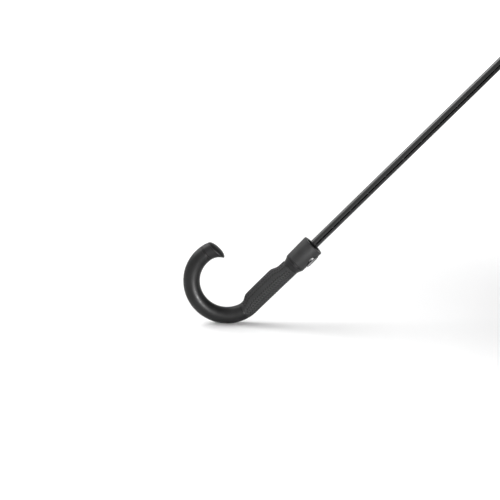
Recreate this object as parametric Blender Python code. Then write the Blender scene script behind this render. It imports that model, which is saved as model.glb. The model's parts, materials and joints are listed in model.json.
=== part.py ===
"""Golf umbrella, open, leaning on the bend of its crook and on its two lowest rib tips.

The umbrella is modelled in its own frame: Z runs along the shaft towards the canopy, the origin is
on the shaft's axis beside the centre of the crook's bend, and the crook hooks towards -X.
One empty then tilts the whole umbrella and stands it on the floor.
"""
import math

import bmesh
import bpy
from mathutils import Matrix, Vector

MM = 0.001
GAP = 0.3 * MM

# How it stands, and the canopy
SHAFT_TILT = math.radians(44.5)
RIBS = 8
RIB_PITCH = math.tau / RIBS
HALF_PITCH = RIB_PITCH / 2
TIP_RADIUS = 720 * MM
CANOPY_ARC = 970 * MM
RIB_DROP = 4.5 * MM
FABRIC = 0.5 * MM
FABRIC_EDGE_GAP = 0.6 * MM
UPPER_LIFT = 1.5 * MM
CANOPY_EYE_RADIUS = 19.5 * MM
CORNER_INSET = 14 * MM
HEM_SAG = 28 * MM
UPPER_OVERHANG = 35 * MM
LOWER_TUCK = 45 * MM

# Crook and grip
BEND_RADIUS = 53.7 * MM
CROOK_TUBE = 12.8 * MM
CROOK_OUT = BEND_RADIUS + CROOK_TUBE
CORE = 10 * MM
BEND_END = math.radians(190.7)
SLEEVE_END = math.radians(14.4)
CROOK_SIDES = 16
SLEEVE_TOP = 83 * MM
NECK_TOP = 95.3 * MM
BORE_FLOOR = 20 * MM
END_PLANE = 23.7 * MM

# Shaft, collar and latch
SHAFT = 7 * MM
SHAFT_INSIDE = 5.5 * MM
SHAFT_FOOT = 20.5 * MM
SLOT_ANGLE = math.radians(-81)
SLOT_HALF = 1.0 * MM
SLOT_FOOT = 128 * MM
COLLAR_FOOT = 95.7 * MM
COLLAR_TOP = 133.6 * MM
COLLAR = 17.5 * MM
MOUTH = 11.6 * MM
CAVITY = 13.6 * MM
CAVITY_TOP = 128.5 * MM
BUTTON_PIN_REACH = 9.6 * MM
BUTTON_PIVOT = Vector((11.5 * MM, 0, 104.5 * MM))
BUTTON_ROUND = 18.5 * MM
LATCH_HEIGHT = 113.4 * MM
LATCH_THICK = 1.8 * MM
NOSE = 9.4 * MM
NOSE_GROOVE = 8.6 * MM
PIN = 0.7 * MM
SHAFT_PIN = 1.25 * MM
SHAFT_PIN_HEIGHT = 50 * MM

# Folding frame
PIVOT_RADIUS = 13 * MM
CROWN_RADIUS = 17 * MM
HUB = 9.6 * MM
SLOT_WIDTH = 3.0 * MM
WIRE = 0.6 * MM
EYE = 2.8 * MM
EYE_HOLE = 0.95 * MM
TAB_THICK = 2.2 * MM
TAB_LENGTH = 9.5 * MM
RIB = 2.0 * MM
STRETCHER = 1.8 * MM
RIB_SIDES = 6
TIP_KNOB = 3.2 * MM
LUG = 7 * MM
RIB_SPLIT = 0.49
KNUCKLE = 2.3 * MM
LAP_NEAR = 0.2 * MM
LAP_FAR = 1.8 * MM
CLOSED_STRETCHER_ANGLE = math.radians(2)
CLOSED_TIP_RADIUS = 36 * MM
CLOSED_HEM_RADIUS = 40 * MM
CLOSED_HEM_ABOVE_TIP = 6 * MM
CLOSED_UPPER_ANGLE = math.radians(3)

# Heights that follow from the two contacts with the floor
RIB_ARC = CANOPY_ARC - RIB_DROP
TIP_HEIGHT = (TIP_KNOB - CROOK_OUT
              + (TIP_RADIUS * math.cos(HALF_PITCH) + BEND_RADIUS) * math.sin(SHAFT_TILT)
              ) / math.cos(SHAFT_TILT)
TIP_ANGLE = math.asin(TIP_RADIUS / RIB_ARC)
DOME_CENTRE = TIP_HEIGHT - RIB_ARC * math.cos(TIP_ANGLE)
PIVOT_ANGLE = math.asin(PIVOT_RADIUS / RIB_ARC)
SPLIT_ANGLE = PIVOT_ANGLE + RIB_SPLIT * (TIP_ANGLE - PIVOT_ANGLE)
DOME_TOP = DOME_CENTRE + CANOPY_ARC


def on_arc(radius, angle):
    """Point of a dome arc in a radial plane: X is the distance from the shaft's axis."""
    return Vector((radius * math.sin(angle), 0, DOME_CENTRE + radius * math.cos(angle)))


RIB_PIVOT = on_arc(RIB_ARC, PIVOT_ANGLE)
RIB_JOINT = on_arc(RIB_ARC, SPLIT_ANGLE)
STRETCHER_PIVOT = on_arc(RIB_ARC - LUG, SPLIT_ANGLE)
RIB_TIP = on_arc(RIB_ARC, TIP_ANGLE)
ARM = (STRETCHER_PIVOT - RIB_PIVOT).length


def angle_from_down(vector):
    """Angle of a vector in a radial plane from straight down the shaft, outwards positive."""
    return math.atan2(vector.x, -vector.z)


def turned_down(vector, angle):
    """Vector in a radial plane after it has folded down towards the shaft by an angle."""
    return Matrix.Rotation(angle, 3, "Y") @ vector


# The fold: equal arms, so that rib and stretcher turn by the same angle
OPEN_ANGLE = angle_from_down(STRETCHER_PIVOT - RIB_PIVOT)
RIB_FOLD = OPEN_ANGLE - CLOSED_STRETCHER_ANGLE
STRETCHER_FOLD = 2 * RIB_FOLD
RUNNER_OPEN = RIB_PIVOT.z - 2 * ARM * math.cos(OPEN_ANGLE)
RUNNER_CLOSED = RIB_PIVOT.z - 2 * ARM * math.cos(CLOSED_STRETCHER_ANGLE)
RUNNER_TRAVEL = RUNNER_OPEN - RUNNER_CLOSED
CLOSED_JOINT = RIB_PIVOT + turned_down(RIB_JOINT - RIB_PIVOT, RIB_FOLD)
TIP_ARM = (RIB_TIP - RIB_JOINT).length
CLOSED_TIP_ANGLE = math.asin((CLOSED_TIP_RADIUS - CLOSED_JOINT.x) / TIP_ARM)
TIP_FOLD = angle_from_down(RIB_TIP - RIB_JOINT) - CLOSED_TIP_ANGLE
RIB_FLEX = RIB_FOLD - TIP_FOLD
CLOSED_TIP = CLOSED_JOINT + turned_down(RIB_TIP - RIB_JOINT, TIP_FOLD)


def in_gore_plane(point):
    """Point on a rib's plane brought straight across to the middle plane of the gore beside it."""
    return Vector((point.x * math.cos(HALF_PITCH), 0, point.z))


CORNER_ANGLE = TIP_ANGLE - CORNER_INSET / CANOPY_ARC
UPPER_EDGE_ANGLE = SPLIT_ANGLE + UPPER_OVERHANG / CANOPY_ARC
LOWER_EDGE_ANGLE = SPLIT_ANGLE - LOWER_TUCK / CANOPY_ARC
UPPER_ARC = CANOPY_ARC + UPPER_LIFT
UPPER_PIVOT = in_gore_plane(on_arc(UPPER_ARC, math.asin(CANOPY_EYE_RADIUS / UPPER_ARC)))
UPPER_FOLD = (angle_from_down(in_gore_plane(on_arc(UPPER_ARC, UPPER_EDGE_ANGLE)) - UPPER_PIVOT)
              - CLOSED_UPPER_ANGLE)


def pole(start, end, angle):
    """Centre of the turn about Y that carries one point of a radial plane to another."""
    reach = (end - start) / 2
    sideways = Vector((reach.z, 0, -reach.x)) / math.tan(angle / 2)
    return start + reach + sideways


# The lower canopy turns about one fixed axis that takes its corners from the open rib tips
# to just above the closed ones
LOWER_CORNER = in_gore_plane(on_arc(CANOPY_ARC, CORNER_ANGLE))
LOWER_TOP = in_gore_plane(on_arc(CANOPY_ARC, LOWER_EDGE_ANGLE))
CLOSED_CORNER = Vector((CLOSED_HEM_RADIUS, 0, CLOSED_TIP.z + CLOSED_HEM_ABOVE_TIP))
LOWER_FOLD = angle_from_down(LOWER_CORNER - LOWER_TOP) - math.radians(1)
LOWER_PIVOT = pole(LOWER_CORNER, CLOSED_CORNER, LOWER_FOLD)

# Drive through the slot in the shaft
DRIVE_PIN_DROP = 13 * MM
DRIVE_PIN_HEIGHT = RUNNER_OPEN - DRIVE_PIN_DROP
SLIDER_BELOW = 9 * MM
SLIDER_ABOVE = 5 * MM
SLIDER = 5.1 * MM
SPRING_FOOT = 70 * MM


# ---------------------------------------------------------------- modelling helpers

def finished_mesh(bm):
    bmesh.ops.remove_doubles(bm, verts=bm.verts, dist=0.001 * MM)
    bmesh.ops.recalc_face_normals(bm, faces=bm.faces)
    mesh = bpy.data.meshes.new("piece")
    bm.to_mesh(mesh)
    bm.free()
    mesh.shade_smooth()
    mesh.set_sharp_from_angle(angle=math.radians(35))
    return mesh


def turned(profile, steps=CROOK_SIDES):
    """Outline of (radius, height) points turned about Z; it may start and end on the axis."""
    bm = bmesh.new()
    verts = [bm.verts.new((radius, 0, height)) for radius, height in profile]
    edges = [bm.edges.new(pair) for pair in zip(verts, verts[1:])]
    if profile[0][0] > 0 or profile[-1][0] > 0:
        edges.append(bm.edges.new((verts[-1], verts[0])))
    bmesh.ops.spin(bm, geom=verts + edges, cent=(0, 0, 0), axis=(0, 0, 1),
                   angle=math.tau, steps=steps, use_merge=True)
    return finished_mesh(bm)


def lofted(rings, ring_shaped=False):
    """Skin over rings of points, capped at both ends or joined end to end."""
    bm = bmesh.new()
    loops = [[bm.verts.new(point) for point in ring] for ring in rings]
    pairs = list(zip(loops, loops[1:]))
    if ring_shaped:
        pairs.append((loops[-1], loops[0]))
    else:
        bm.faces.new(loops[0])
        bm.faces.new(loops[-1])
    for lower, upper in pairs:
        count = len(lower)
        for i in range(count):
            j = (i + 1) % count
            bm.faces.new((lower[i], lower[j], upper[j], upper[i]))
    return finished_mesh(bm)


def plate(outline, y_low, y_high):
    """Outline of (x, z) points extruded along Y."""
    bm = bmesh.new()
    face = bm.faces.new([bm.verts.new((x, y_low, z)) for x, z in outline])
    extruded = bmesh.ops.extrude_face_region(bm, geom=[face])["geom"]
    verts = [item for item in extruded if isinstance(item, bmesh.types.BMVert)]
    bmesh.ops.translate(bm, verts=verts, vec=(0, y_high - y_low, 0))
    return finished_mesh(bm)


def capsule(start, end, radius, steps=3):
    """Outline round two points: half a circle at each end, straight sides between."""
    heading = math.atan2(end[1] - start[1], end[0] - start[0])
    points = []
    for centre, facing in ((end, heading), (start, heading + math.pi)):
        for i in range(steps + 1):
            angle = facing - math.pi / 2 + math.pi * i / steps
            points.append((centre[0] + radius * math.cos(angle),
                           centre[1] + radius * math.sin(angle)))
    return points


def circle(centre, first, second, radius, sides):
    """Ring of points round a centre in the plane of two directions."""
    return [centre + first * (radius * math.cos(math.tau * i / sides))
            + second * (radius * math.sin(math.tau * i / sides)) for i in range(sides)]


def rod(start, end, radius, sides=8):
    """Straight round rod between two points."""
    along = (end - start).normalized()
    side = along.orthogonal().normalized()
    other = along.cross(side)
    return lofted([circle(start, side, other, radius, sides),
                   circle(end, side, other, radius, sides)])


def box(low, high):
    bm = bmesh.new()
    bmesh.ops.create_cube(bm, size=1)
    size = Vector(high) - Vector(low)
    centre = (Vector(high) + Vector(low)) / 2
    bmesh.ops.transform(bm, matrix=Matrix.Translation(centre) @ Matrix.Diagonal((*size, 1)),
                        verts=bm.verts)
    return finished_mesh(bm)


def coil(start, end, radius, wire, turns, steps=6, sides=4):
    """Helical spring between two points."""
    along = (end - start).normalized()
    side = along.orthogonal().normalized()
    other = along.cross(side)
    rings = []
    for i in range(turns * steps + 1):
        angle = math.tau * i / steps
        out = side * math.cos(angle) + other * math.sin(angle)
        centre = start.lerp(end, i / (turns * steps)) + out * radius
        rings.append(circle(centre, out, along, wire, sides))
    return lofted(rings)


def combined(base, added=(), removed=(), kept=()):
    """Mesh of a base joined with some meshes, cut by others and trimmed to others."""
    body = bpy.data.objects.new("body", base)
    helpers = []
    bpy.context.collection.objects.link(body)
    for operation, meshes in (("UNION", added), ("DIFFERENCE", removed), ("INTERSECT", kept)):
        for mesh in meshes:
            helper = bpy.data.objects.new("helper", mesh)
            bpy.context.collection.objects.link(helper)
            modifier = body.modifiers.new(operation, "BOOLEAN")
            modifier.operation = operation
            modifier.solver = "EXACT"
            modifier.object = helper
            helpers.append(helper)
    depsgraph = bpy.context.evaluated_depsgraph_get()
    result = bpy.data.meshes.new_from_object(body.evaluated_get(depsgraph))
    for item in [body] + helpers:
        bpy.data.objects.remove(item)
    result.materials.clear()
    return result


def moved(mesh, matrix):
    """A moved copy of a mesh."""
    copy = mesh.copy()
    copy.transform(matrix)
    return copy


MATERIALS = {}


def material(name, colour, roughness, metallic=0.0):
    finish = bpy.data.materials.new(name)
    finish.use_nodes = True
    shader = finish.node_tree.nodes["Principled BSDF"]
    shader.inputs["Base Color"].default_value = (*colour, 1)
    shader.inputs["Roughness"].default_value = roughness
    shader.inputs["Metallic"].default_value = metallic
    MATERIALS[name] = finish


def node(name, mesh, finish, parent, pivot=Vector()):
    """Named piece whose origin is its pivot; its mesh is given in the parent's frame."""
    mesh = moved(mesh, Matrix.Translation(-pivot))
    mesh.materials.append(MATERIALS[finish])
    piece = bpy.data.objects.new(name, mesh)
    piece.location = pivot
    piece.parent = parent
    bpy.context.collection.objects.link(piece)
    return piece


def empty(name, parent=None, turn=0.0):
    frame = bpy.data.objects.new(name, None)
    frame.parent = parent
    frame.rotation_euler.z = turn
    bpy.context.collection.objects.link(frame)
    return frame


# ---------------------------------------------------------------- crook and grip

def bend_ring(angle, outer, inner, half_width):
    """Section of the handle in its bend: reach away from the bend's centre and towards it."""
    radial = Vector((math.cos(angle), 0, -math.sin(angle)))
    centre = Vector((-BEND_RADIUS, 0, 0)) + radial * (BEND_RADIUS + (outer - inner) / 2)
    half_depth = (outer + inner) / 2
    angles = [math.tau * i / CROOK_SIDES for i in range(CROOK_SIDES)]
    return [centre + radial * (half_depth * math.cos(t)) + Vector((0, half_width * math.sin(t), 0))
            for t in angles]


def straight_ring(height, outer, inner=None, half_width=None):
    """Section of the handle on its straight part."""
    inner = outer if inner is None else inner
    half_width = outer if half_width is None else half_width
    return [point + Vector((0, 0, height)) for point in bend_ring(0, outer, inner, half_width)]


def shaft_pin(reach, radius):
    """Cross bar through the shaft and the crook's core."""
    return rod(Vector((0, -reach, SHAFT_PIN_HEIGHT)), Vector((0, reach, SHAFT_PIN_HEIGHT)), radius)


def crook_hook(parent):
    bore = SHAFT + GAP / 2
    rings = [straight_ring(BORE_FLOOR, bore), straight_ring(NECK_TOP + 4.7 * MM, bore)]
    for height, radius in ((NECK_TOP + 4.7 * MM, 13.1 * MM), (NECK_TOP, 13.1 * MM),
                           (NECK_TOP, 16.4 * MM), (NECK_TOP - 0.8 * MM, 16.8 * MM),
                           (NECK_TOP - 4 * MM, 15.4 * MM), (NECK_TOP - 9 * MM, 13.6 * MM),
                           (SLEEVE_TOP + 0.4 * MM, 13.3 * MM), (SLEEVE_TOP + 0.4 * MM, CORE),
                           (0, CORE)):
        rings.append(straight_ring(height, radius))
    step = (math.pi / 2 - SHAFT_TILT) / 4
    shoulder = SLEEVE_END + math.radians(0.5)
    angles = [shoulder] + [step * i for i in range(2, 17)] + [BEND_END]
    rings.append(bend_ring(shoulder, CORE, CORE, CORE))
    rings += [bend_ring(angle, CROOK_TUBE, CROOK_TUBE, CROOK_TUBE) for angle in angles]
    mesh = combined(lofted(rings), removed=[shaft_pin(20 * MM, SHAFT_PIN + GAP)])
    node("crook_hook", mesh, "handle_black", parent)


def end_ring(height, middle, half_length, half_width):
    """Oval section of the crook's end, square to the shaft."""
    angles = [math.tau * i / CROOK_SIDES for i in range(CROOK_SIDES)]
    return [Vector((-BEND_RADIUS + middle - half_length * math.cos(t),
                    half_width * math.sin(t), height)) for t in angles]


def crook_end(parent):
    seam = BEND_END + math.radians(0.4)
    middle = -45.2 * MM
    half_length = 16.6 * MM
    between = bend_ring(BEND_END + math.radians(7), CROOK_TUBE, CROOK_TUBE + 0.6 * MM, CROOK_TUBE)
    cap = lofted([bend_ring(seam, CROOK_TUBE, CROOK_TUBE, CROOK_TUBE), between,
                  end_ring(END_PLANE, middle, half_length, CROOK_TUBE)])
    node("crook_end_cap", cap, "handle_black", parent)
    dome = [(0.4, 0.985), (2.0, 0.93), (3.6, 0.78), (4.9, 0.5), (5.5, 0.2)]
    rings = [end_ring(END_PLANE + rise * MM, middle + (1 - size) * 2 * MM,
                      half_length * size, CROOK_TUBE * size) for rise, size in dome]
    node("crook_end_plate", lofted(rings), "handle_black", parent)


def grip_sleeve(parent):
    """Rubber sleeve with a long swelling for the fingers on the hook's side."""
    inside = CORE + GAP
    outer_side = [(83, 13.3, 14.2), (75, 13.2, 14.2), (66, 13.1, 16.4), (60, 13.0, 19.0),
                  (33, 12.8, 19.2), (6, 12.6, 19.0), (1, 12.6, 16.4)]
    rings = [straight_ring(height * MM, outer * MM, inner * MM, 13 * MM)
             for height, outer, inner in outer_side]
    rings.append(bend_ring(SLEEVE_END / 2, 12.7 * MM, 13.6 * MM, 12.9 * MM))
    rings.append(bend_ring(SLEEVE_END, CROOK_TUBE, CROOK_TUBE, CROOK_TUBE))
    rings += [bend_ring(SLEEVE_END, inside, inside, inside), straight_ring(0, inside),
              straight_ring(SLEEVE_TOP, inside)]
    node("grip_sleeve", lofted(rings, ring_shaped=True), "grip_rubber", parent)


# ---------------------------------------------------------------- collar, button and latch

def along_pivot(reach, radius):
    """Round bar on the button's pivot, reaching equally to both sides."""
    return rod(BUTTON_PIVOT - Vector((0, reach, 0)), BUTTON_PIVOT + Vector((0, reach, 0)), radius)


def collar(parent):
    shell = turned([(CAVITY, COLLAR_FOOT), (16.5 * MM, COLLAR_FOOT),
                    (16.8 * MM, COLLAR_FOOT + 0.5 * MM), (COLLAR, COLLAR_TOP - 0.6 * MM),
                    (COLLAR - 0.6 * MM, COLLAR_TOP), (MOUTH, COLLAR_TOP), (MOUTH, CAVITY_TOP),
                    (CAVITY, CAVITY_TOP)], steps=32)
    notch = plate([(9.9 * MM, 118.6 * MM), (11.5 * MM, 111.7 * MM), (15.5 * MM, 104 * MM),
                   (19.5 * MM, 97.5 * MM), (19.5 * MM, 130.4 * MM)], -20 * MM, 20 * MM)
    arm_slot = box((10 * MM, -3 * MM, 101 * MM), (20 * MM, 3 * MM, 108 * MM))
    pin_hole = along_pivot(BUTTON_PIN_REACH + GAP, PIN + GAP)
    node("collar", combined(shell, removed=[notch, arm_slot, pin_hole]), "collar_plastic", parent)


def push_button(parent):
    """Rounded lever in the collar's notch, turning on a pin at its lower end."""
    face = plate([(16.0 * MM, 104 * MM), (19 * MM, 104.6 * MM), (19 * MM, 125 * MM),
                  (18.2 * MM, 125.9 * MM), (14.6 * MM, 121.6 * MM), (14.0 * MM, 112 * MM),
                  (14.2 * MM, 109 * MM), (15.0 * MM, 106 * MM)], -15 * MM, 15 * MM)
    round_trim = turned([(0, 100 * MM), (BUTTON_ROUND, 100 * MM), (BUTTON_ROUND, 128 * MM),
                         (0, 128 * MM)], steps=32)
    arm = plate([(11.5 * MM, 102.3 * MM), (13.2 * MM, 102.3 * MM), (15.9 * MM, 104.6 * MM),
                 (15.9 * MM, 107.4 * MM), (13.0 * MM, 107.4 * MM), (10.2 * MM, 106.2 * MM),
                 (9.5 * MM, 104.5 * MM), (10.2 * MM, 103 * MM)], -2.6 * MM, 2.6 * MM)
    hole = along_pivot(5 * MM, PIN + GAP)
    rounded = combined(face, kept=[round_trim])
    node("push_button", combined(rounded, added=[arm], removed=[hole]), "button_plastic", parent,
         BUTTON_PIVOT)
    node("button_pin", along_pivot(BUTTON_PIN_REACH, PIN), "bright_steel", parent)
    height = 109.9 * MM
    spring = coil(Vector((7.75 * MM, 0, height)), Vector((13.3 * MM, 0, height)),
                  1.5 * MM, 0.35 * MM, turns=4)
    node("button_spring", spring, "bright_steel", parent)


def latch_plate(parent):
    """Sliding plate round the shaft, pushed by its upturned tab; its far lip holds the runner."""
    low = LATCH_HEIGHT - LATCH_THICK / 2
    high = LATCH_HEIGHT + LATCH_THICK / 2
    disc = turned([(0, low), (12.6 * MM, low), (12.6 * MM, high), (0, high)], steps=24)
    tongue = box((8 * MM, -4.5 * MM, low), (13.6 * MM, 4.5 * MM, high))
    tab = box((11.9 * MM, -3.6 * MM, low), (13.1 * MM, 3.6 * MM, 120.2 * MM))
    hole = rod(Vector((0.85 * MM, 0, low - MM)), Vector((0.85 * MM, 0, high + MM)), 9.8 * MM, 20)
    plate_mesh = combined(disc, added=[tongue, tab], removed=[hole])
    node("latch_plate", plate_mesh, "dark_steel", parent)


# ---------------------------------------------------------------- shaft and drive

def toward_slot(radius, height):
    return Vector((radius * math.cos(SLOT_ANGLE), radius * math.sin(SLOT_ANGLE), height))


def shaft(parent):
    top = DOME_TOP + 14 * MM
    tube = turned([(SHAFT_INSIDE, SHAFT_FOOT), (SHAFT, SHAFT_FOOT), (SHAFT, top),
                   (SHAFT_INSIDE, top)], steps=20)
    slot = box((3 * MM, -SLOT_HALF, SLOT_FOOT), (9 * MM, SLOT_HALF, DRIVE_PIN_HEIGHT + PIN + GAP))
    slot = moved(slot, Matrix.Rotation(SLOT_ANGLE, 4, "Z"))
    mesh = combined(tube, removed=[slot, shaft_pin(20 * MM, SHAFT_PIN + GAP)])
    node("shaft_tube", mesh, "shaft_black", parent)
    node("shaft_pin", shaft_pin(9.6 * MM, SHAFT_PIN), "bright_steel", parent)
    plug_radius = SHAFT_INSIDE - GAP
    plug = turned([(0, 60 * MM), (plug_radius, 60 * MM), (plug_radius, SPRING_FOOT - GAP),
                   (0, SPRING_FOOT - GAP)], steps=12)
    node("spring_plug", plug, "dark_steel", parent)
    wire = 0.5 * MM
    spring = coil(Vector((0, 0, SPRING_FOOT + wire)),
                  Vector((0, 0, DRIVE_PIN_HEIGHT - SLIDER_BELOW - GAP - wire)),
                  4.3 * MM, wire, turns=18)
    node("opening_spring", spring, "bright_steel", parent)


def drive_slider(parent):
    """Slider inside the shaft, with the pin that carries the runner through the slot."""
    low = DRIVE_PIN_HEIGHT - SLIDER_BELOW
    high = DRIVE_PIN_HEIGHT + SLIDER_ABOVE
    slug = turned([(0, low), (SLIDER, low), (SLIDER, high), (0, high)], steps=12)
    pin = rod(toward_slot(2 * MM, DRIVE_PIN_HEIGHT), toward_slot(9.2 * MM, DRIVE_PIN_HEIGHT), PIN)
    node("drive_slider", combined(slug, added=[pin]), "dark_steel", parent)


# ---------------------------------------------------------------- notch, runner and wires

def slot_cutters(centre_height, below, above):
    """One cutter for each rib's slot, open to the outside."""
    half = SLOT_WIDTH / 2
    blade = box((HUB + 0.2 * MM, -half, centre_height - below),
                (CROWN_RADIUS + 3 * MM, half, centre_height + above))
    return [moved(blade, Matrix.Rotation(HALF_PITCH + RIB_PITCH * i, 4, "Z")) for i in range(RIBS)]


def joined(meshes):
    """Several separate closed meshes as one."""
    bm = bmesh.new()
    for mesh in meshes:
        bm.from_mesh(mesh)
    return finished_mesh(bm)


def wire_ring(name, height, parent):
    steps = 24
    rings = []
    for i in range(steps):
        angle = math.tau * i / steps
        out = Vector((math.cos(angle), math.sin(angle), 0))
        centre = out * PIVOT_RADIUS + Vector((0, 0, height))
        rings.append(circle(centre, out, Vector((0, 0, 1)), WIRE, 5))
    node(name, lofted(rings, ring_shaped=True), "bright_steel", parent)


def wire_groove(height, top):
    """Profile of the groove that the tie wire lies in, from the inside out."""
    floor = height - WIRE - GAP
    return [(PIVOT_RADIUS + WIRE + GAP, top), (PIVOT_RADIUS + WIRE + GAP, floor),
            (PIVOT_RADIUS - WIRE - GAP, floor), (PIVOT_RADIUS - WIRE - GAP, top)]


def top_notch(parent):
    bore = SHAFT + GAP
    low = RIB_PIVOT.z - 6 * MM
    top = RIB_PIVOT.z + 3.2 * MM
    skirt = low - 9 * MM
    body = turned([(bore, skirt), (HUB - MM, skirt), (HUB - MM, low), (CROWN_RADIUS, low),
                   (CROWN_RADIUS, top)] + wire_groove(RIB_PIVOT.z, top) + [(bore, top)], steps=24)
    cutters = joined(slot_cutters(RIB_PIVOT.z, 8 * MM, 8 * MM))
    node("top_notch", combined(body, removed=[cutters]), "frame_plastic", parent)
    wire_ring("notch_wire", RIB_PIVOT.z, parent)


def runner(parent):
    bore = SHAFT + GAP
    pivot = RUNNER_OPEN
    low = pivot - 6 * MM
    top = pivot + 3.2 * MM
    latch = LATCH_HEIGHT + RUNNER_TRAVEL
    groove = LATCH_THICK / 2 + 0.5 * MM
    body = turned([(bore, latch - 5 * MM), (8.7 * MM, latch - 5 * MM), (NOSE, latch - 3.4 * MM),
                   (NOSE, latch - groove), (NOSE_GROOVE, latch - groove), (NOSE_GROOVE, latch + groove),
                   (NOSE, latch + groove), (NOSE, low), (CROWN_RADIUS, low), (CROWN_RADIUS, top)]
                  + wire_groove(pivot, top) + [(bore, top)], steps=24)
    cutters = joined(slot_cutters(pivot, 8 * MM, 8 * MM))
    hole = rod(toward_slot(6 * MM, DRIVE_PIN_HEIGHT), toward_slot(12 * MM, DRIVE_PIN_HEIGHT),
               PIN + GAP)
    node("runner", combined(body, removed=[cutters, hole]), "frame_plastic", parent)
    wire_ring("runner_wire", pivot, parent)
    drive_slider(parent)


def crown_cap(parent):
    """Washer over the middle of the canopy, and the ferrule that clamps it."""
    rise = DOME_TOP + UPPER_LIFT + 0.5 * MM
    bore = SHAFT + GAP
    washer = turned([(bore, rise), (25 * MM, rise - 0.3 * MM), (25.4 * MM, rise + 0.5 * MM),
                     (20 * MM, rise + 2.0 * MM), (11 * MM, rise + 3.2 * MM),
                     (bore, rise + 3.4 * MM)], steps=16)
    node("canopy_washer", washer, "frame_plastic", parent)
    foot = rise + 3.8 * MM
    tip = foot + 61 * MM
    bore_end = foot + 14 * MM
    ferrule = turned([(bore, foot), (9.6 * MM, foot), (10.2 * MM, foot + 3 * MM),
                      (8.6 * MM, foot + 9 * MM), (6.4 * MM, foot + 17 * MM),
                      (5.2 * MM, foot + 40 * MM), (4.6 * MM, tip - 3 * MM), (3.8 * MM, tip),
                      (0, tip), (0, bore_end), (bore, bore_end)], steps=16)
    node("ferrule", ferrule, "frame_plastic", parent)


# ---------------------------------------------------------------- ribs and stretchers

def rib_ring(angle, radius=RIB):
    """Section of a rib square to its arc, in the rib's plane."""
    normal = Vector((math.sin(angle), 0, math.cos(angle)))
    return circle(on_arc(RIB_ARC, angle), normal, Vector((0, 1, 0)), radius, RIB_SIDES)


def rib_rings(first, last, rows):
    return [rib_ring(first + (last - first) * i / rows) for i in range(rows + 1)]


def across(centre, y_low, y_high, radius, sides=6):
    """Short pin along Y."""
    return rod(centre + Vector((0, y_low, 0)), centre + Vector((0, y_high, 0)), radius, sides)


def flat(point):
    return (point.x, point.z)


def rib_inner_mesh():
    """From the notch to the stretcher's joint: eye, rod and knuckle with two rivets."""
    eye_end = on_arc(RIB_ARC, PIVOT_ANGLE + TAB_LENGTH / RIB_ARC)
    half = TAB_THICK / 2
    eye = plate(capsule(flat(RIB_PIVOT), flat(eye_end), 1.7 * MM), -0.85 * half, 0.85 * half)
    eye_round = across(RIB_PIVOT, -half, half, EYE, 8)
    start = PIVOT_ANGLE + (TAB_LENGTH - 2 * MM) / RIB_ARC
    end = SPLIT_ANGLE - 3.2 * MM / RIB_ARC
    rod_mesh = lofted(rib_rings(start, end, 5))
    back = on_arc(RIB_ARC, SPLIT_ANGLE - 7 * MM / RIB_ARC)
    lap = plate(capsule(flat(back), flat(RIB_JOINT), 1.7 * MM),
                -LAP_FAR + 0.15 * MM, -LAP_NEAR - 0.1 * MM)
    lug = plate(capsule(flat(RIB_JOINT), flat(STRETCHER_PIVOT), KNUCKLE), -LAP_FAR, -LAP_NEAR)
    rivets = [across(centre, -MM, LAP_FAR + 0.4 * MM, 0.8 * MM)
              for centre in (RIB_JOINT, STRETCHER_PIVOT)]
    hole = across(RIB_PIVOT, -4 * MM, 4 * MM, EYE_HOLE)
    return combined(rod_mesh, added=[eye, eye_round, lap, lug] + rivets, removed=[hole])


def rib_outer_mesh():
    """From the stretcher's joint to the tip, with the tip's plastic cap."""
    start = SPLIT_ANGLE + 3.2 * MM / RIB_ARC
    cap_start = CORNER_ANGLE + 2.5 * MM / RIB_ARC
    rings = rib_rings(start, cap_start, 5)
    for along, radius in ((0.0, 2.9), (0.7, 3.2), (1.0, 3.0), (1.18, 2.2), (1.26, 1.0)):
        angle = cap_start + (TIP_ANGLE - cap_start) * along
        rings.append(rib_ring(angle, radius * MM))
    rod_mesh = lofted(rings)
    ahead = on_arc(RIB_ARC, SPLIT_ANGLE + 7 * MM / RIB_ARC)
    lap = plate(capsule(flat(RIB_JOINT), flat(ahead), 1.7 * MM), LAP_NEAR, LAP_FAR)
    hole = across(RIB_JOINT, -4 * MM, 4 * MM, 0.8 * MM + GAP)
    return combined(rod_mesh, added=[lap], removed=[hole])


def stretcher_mesh():
    """Straight rod from the rib's knuckle down to the runner."""
    foot = Vector((PIVOT_RADIUS, 0, RUNNER_OPEN))
    along = (foot - STRETCHER_PIVOT).normalized()
    half = TAB_THICK / 2
    foot_tab = plate(capsule(flat(foot - along * TAB_LENGTH), flat(foot), 1.7 * MM),
                     -0.85 * half, 0.85 * half)
    foot_round = across(foot, -half, half, EYE, 8)
    head_tab = plate(capsule(flat(STRETCHER_PIVOT), flat(STRETCHER_PIVOT + along * 8 * MM), 1.7 * MM),
                     LAP_NEAR, LAP_FAR)
    rod_mesh = rod(STRETCHER_PIVOT + along * 4 * MM, foot - along * (TAB_LENGTH - 2 * MM),
                   STRETCHER, RIB_SIDES)
    holes = [across(foot, -4 * MM, 4 * MM, EYE_HOLE),
             across(STRETCHER_PIVOT, -4 * MM, 4 * MM, 0.8 * MM + GAP)]
    return combined(rod_mesh, added=[foot_tab, foot_round, head_tab], removed=holes)


# ---------------------------------------------------------------- canopy

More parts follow.
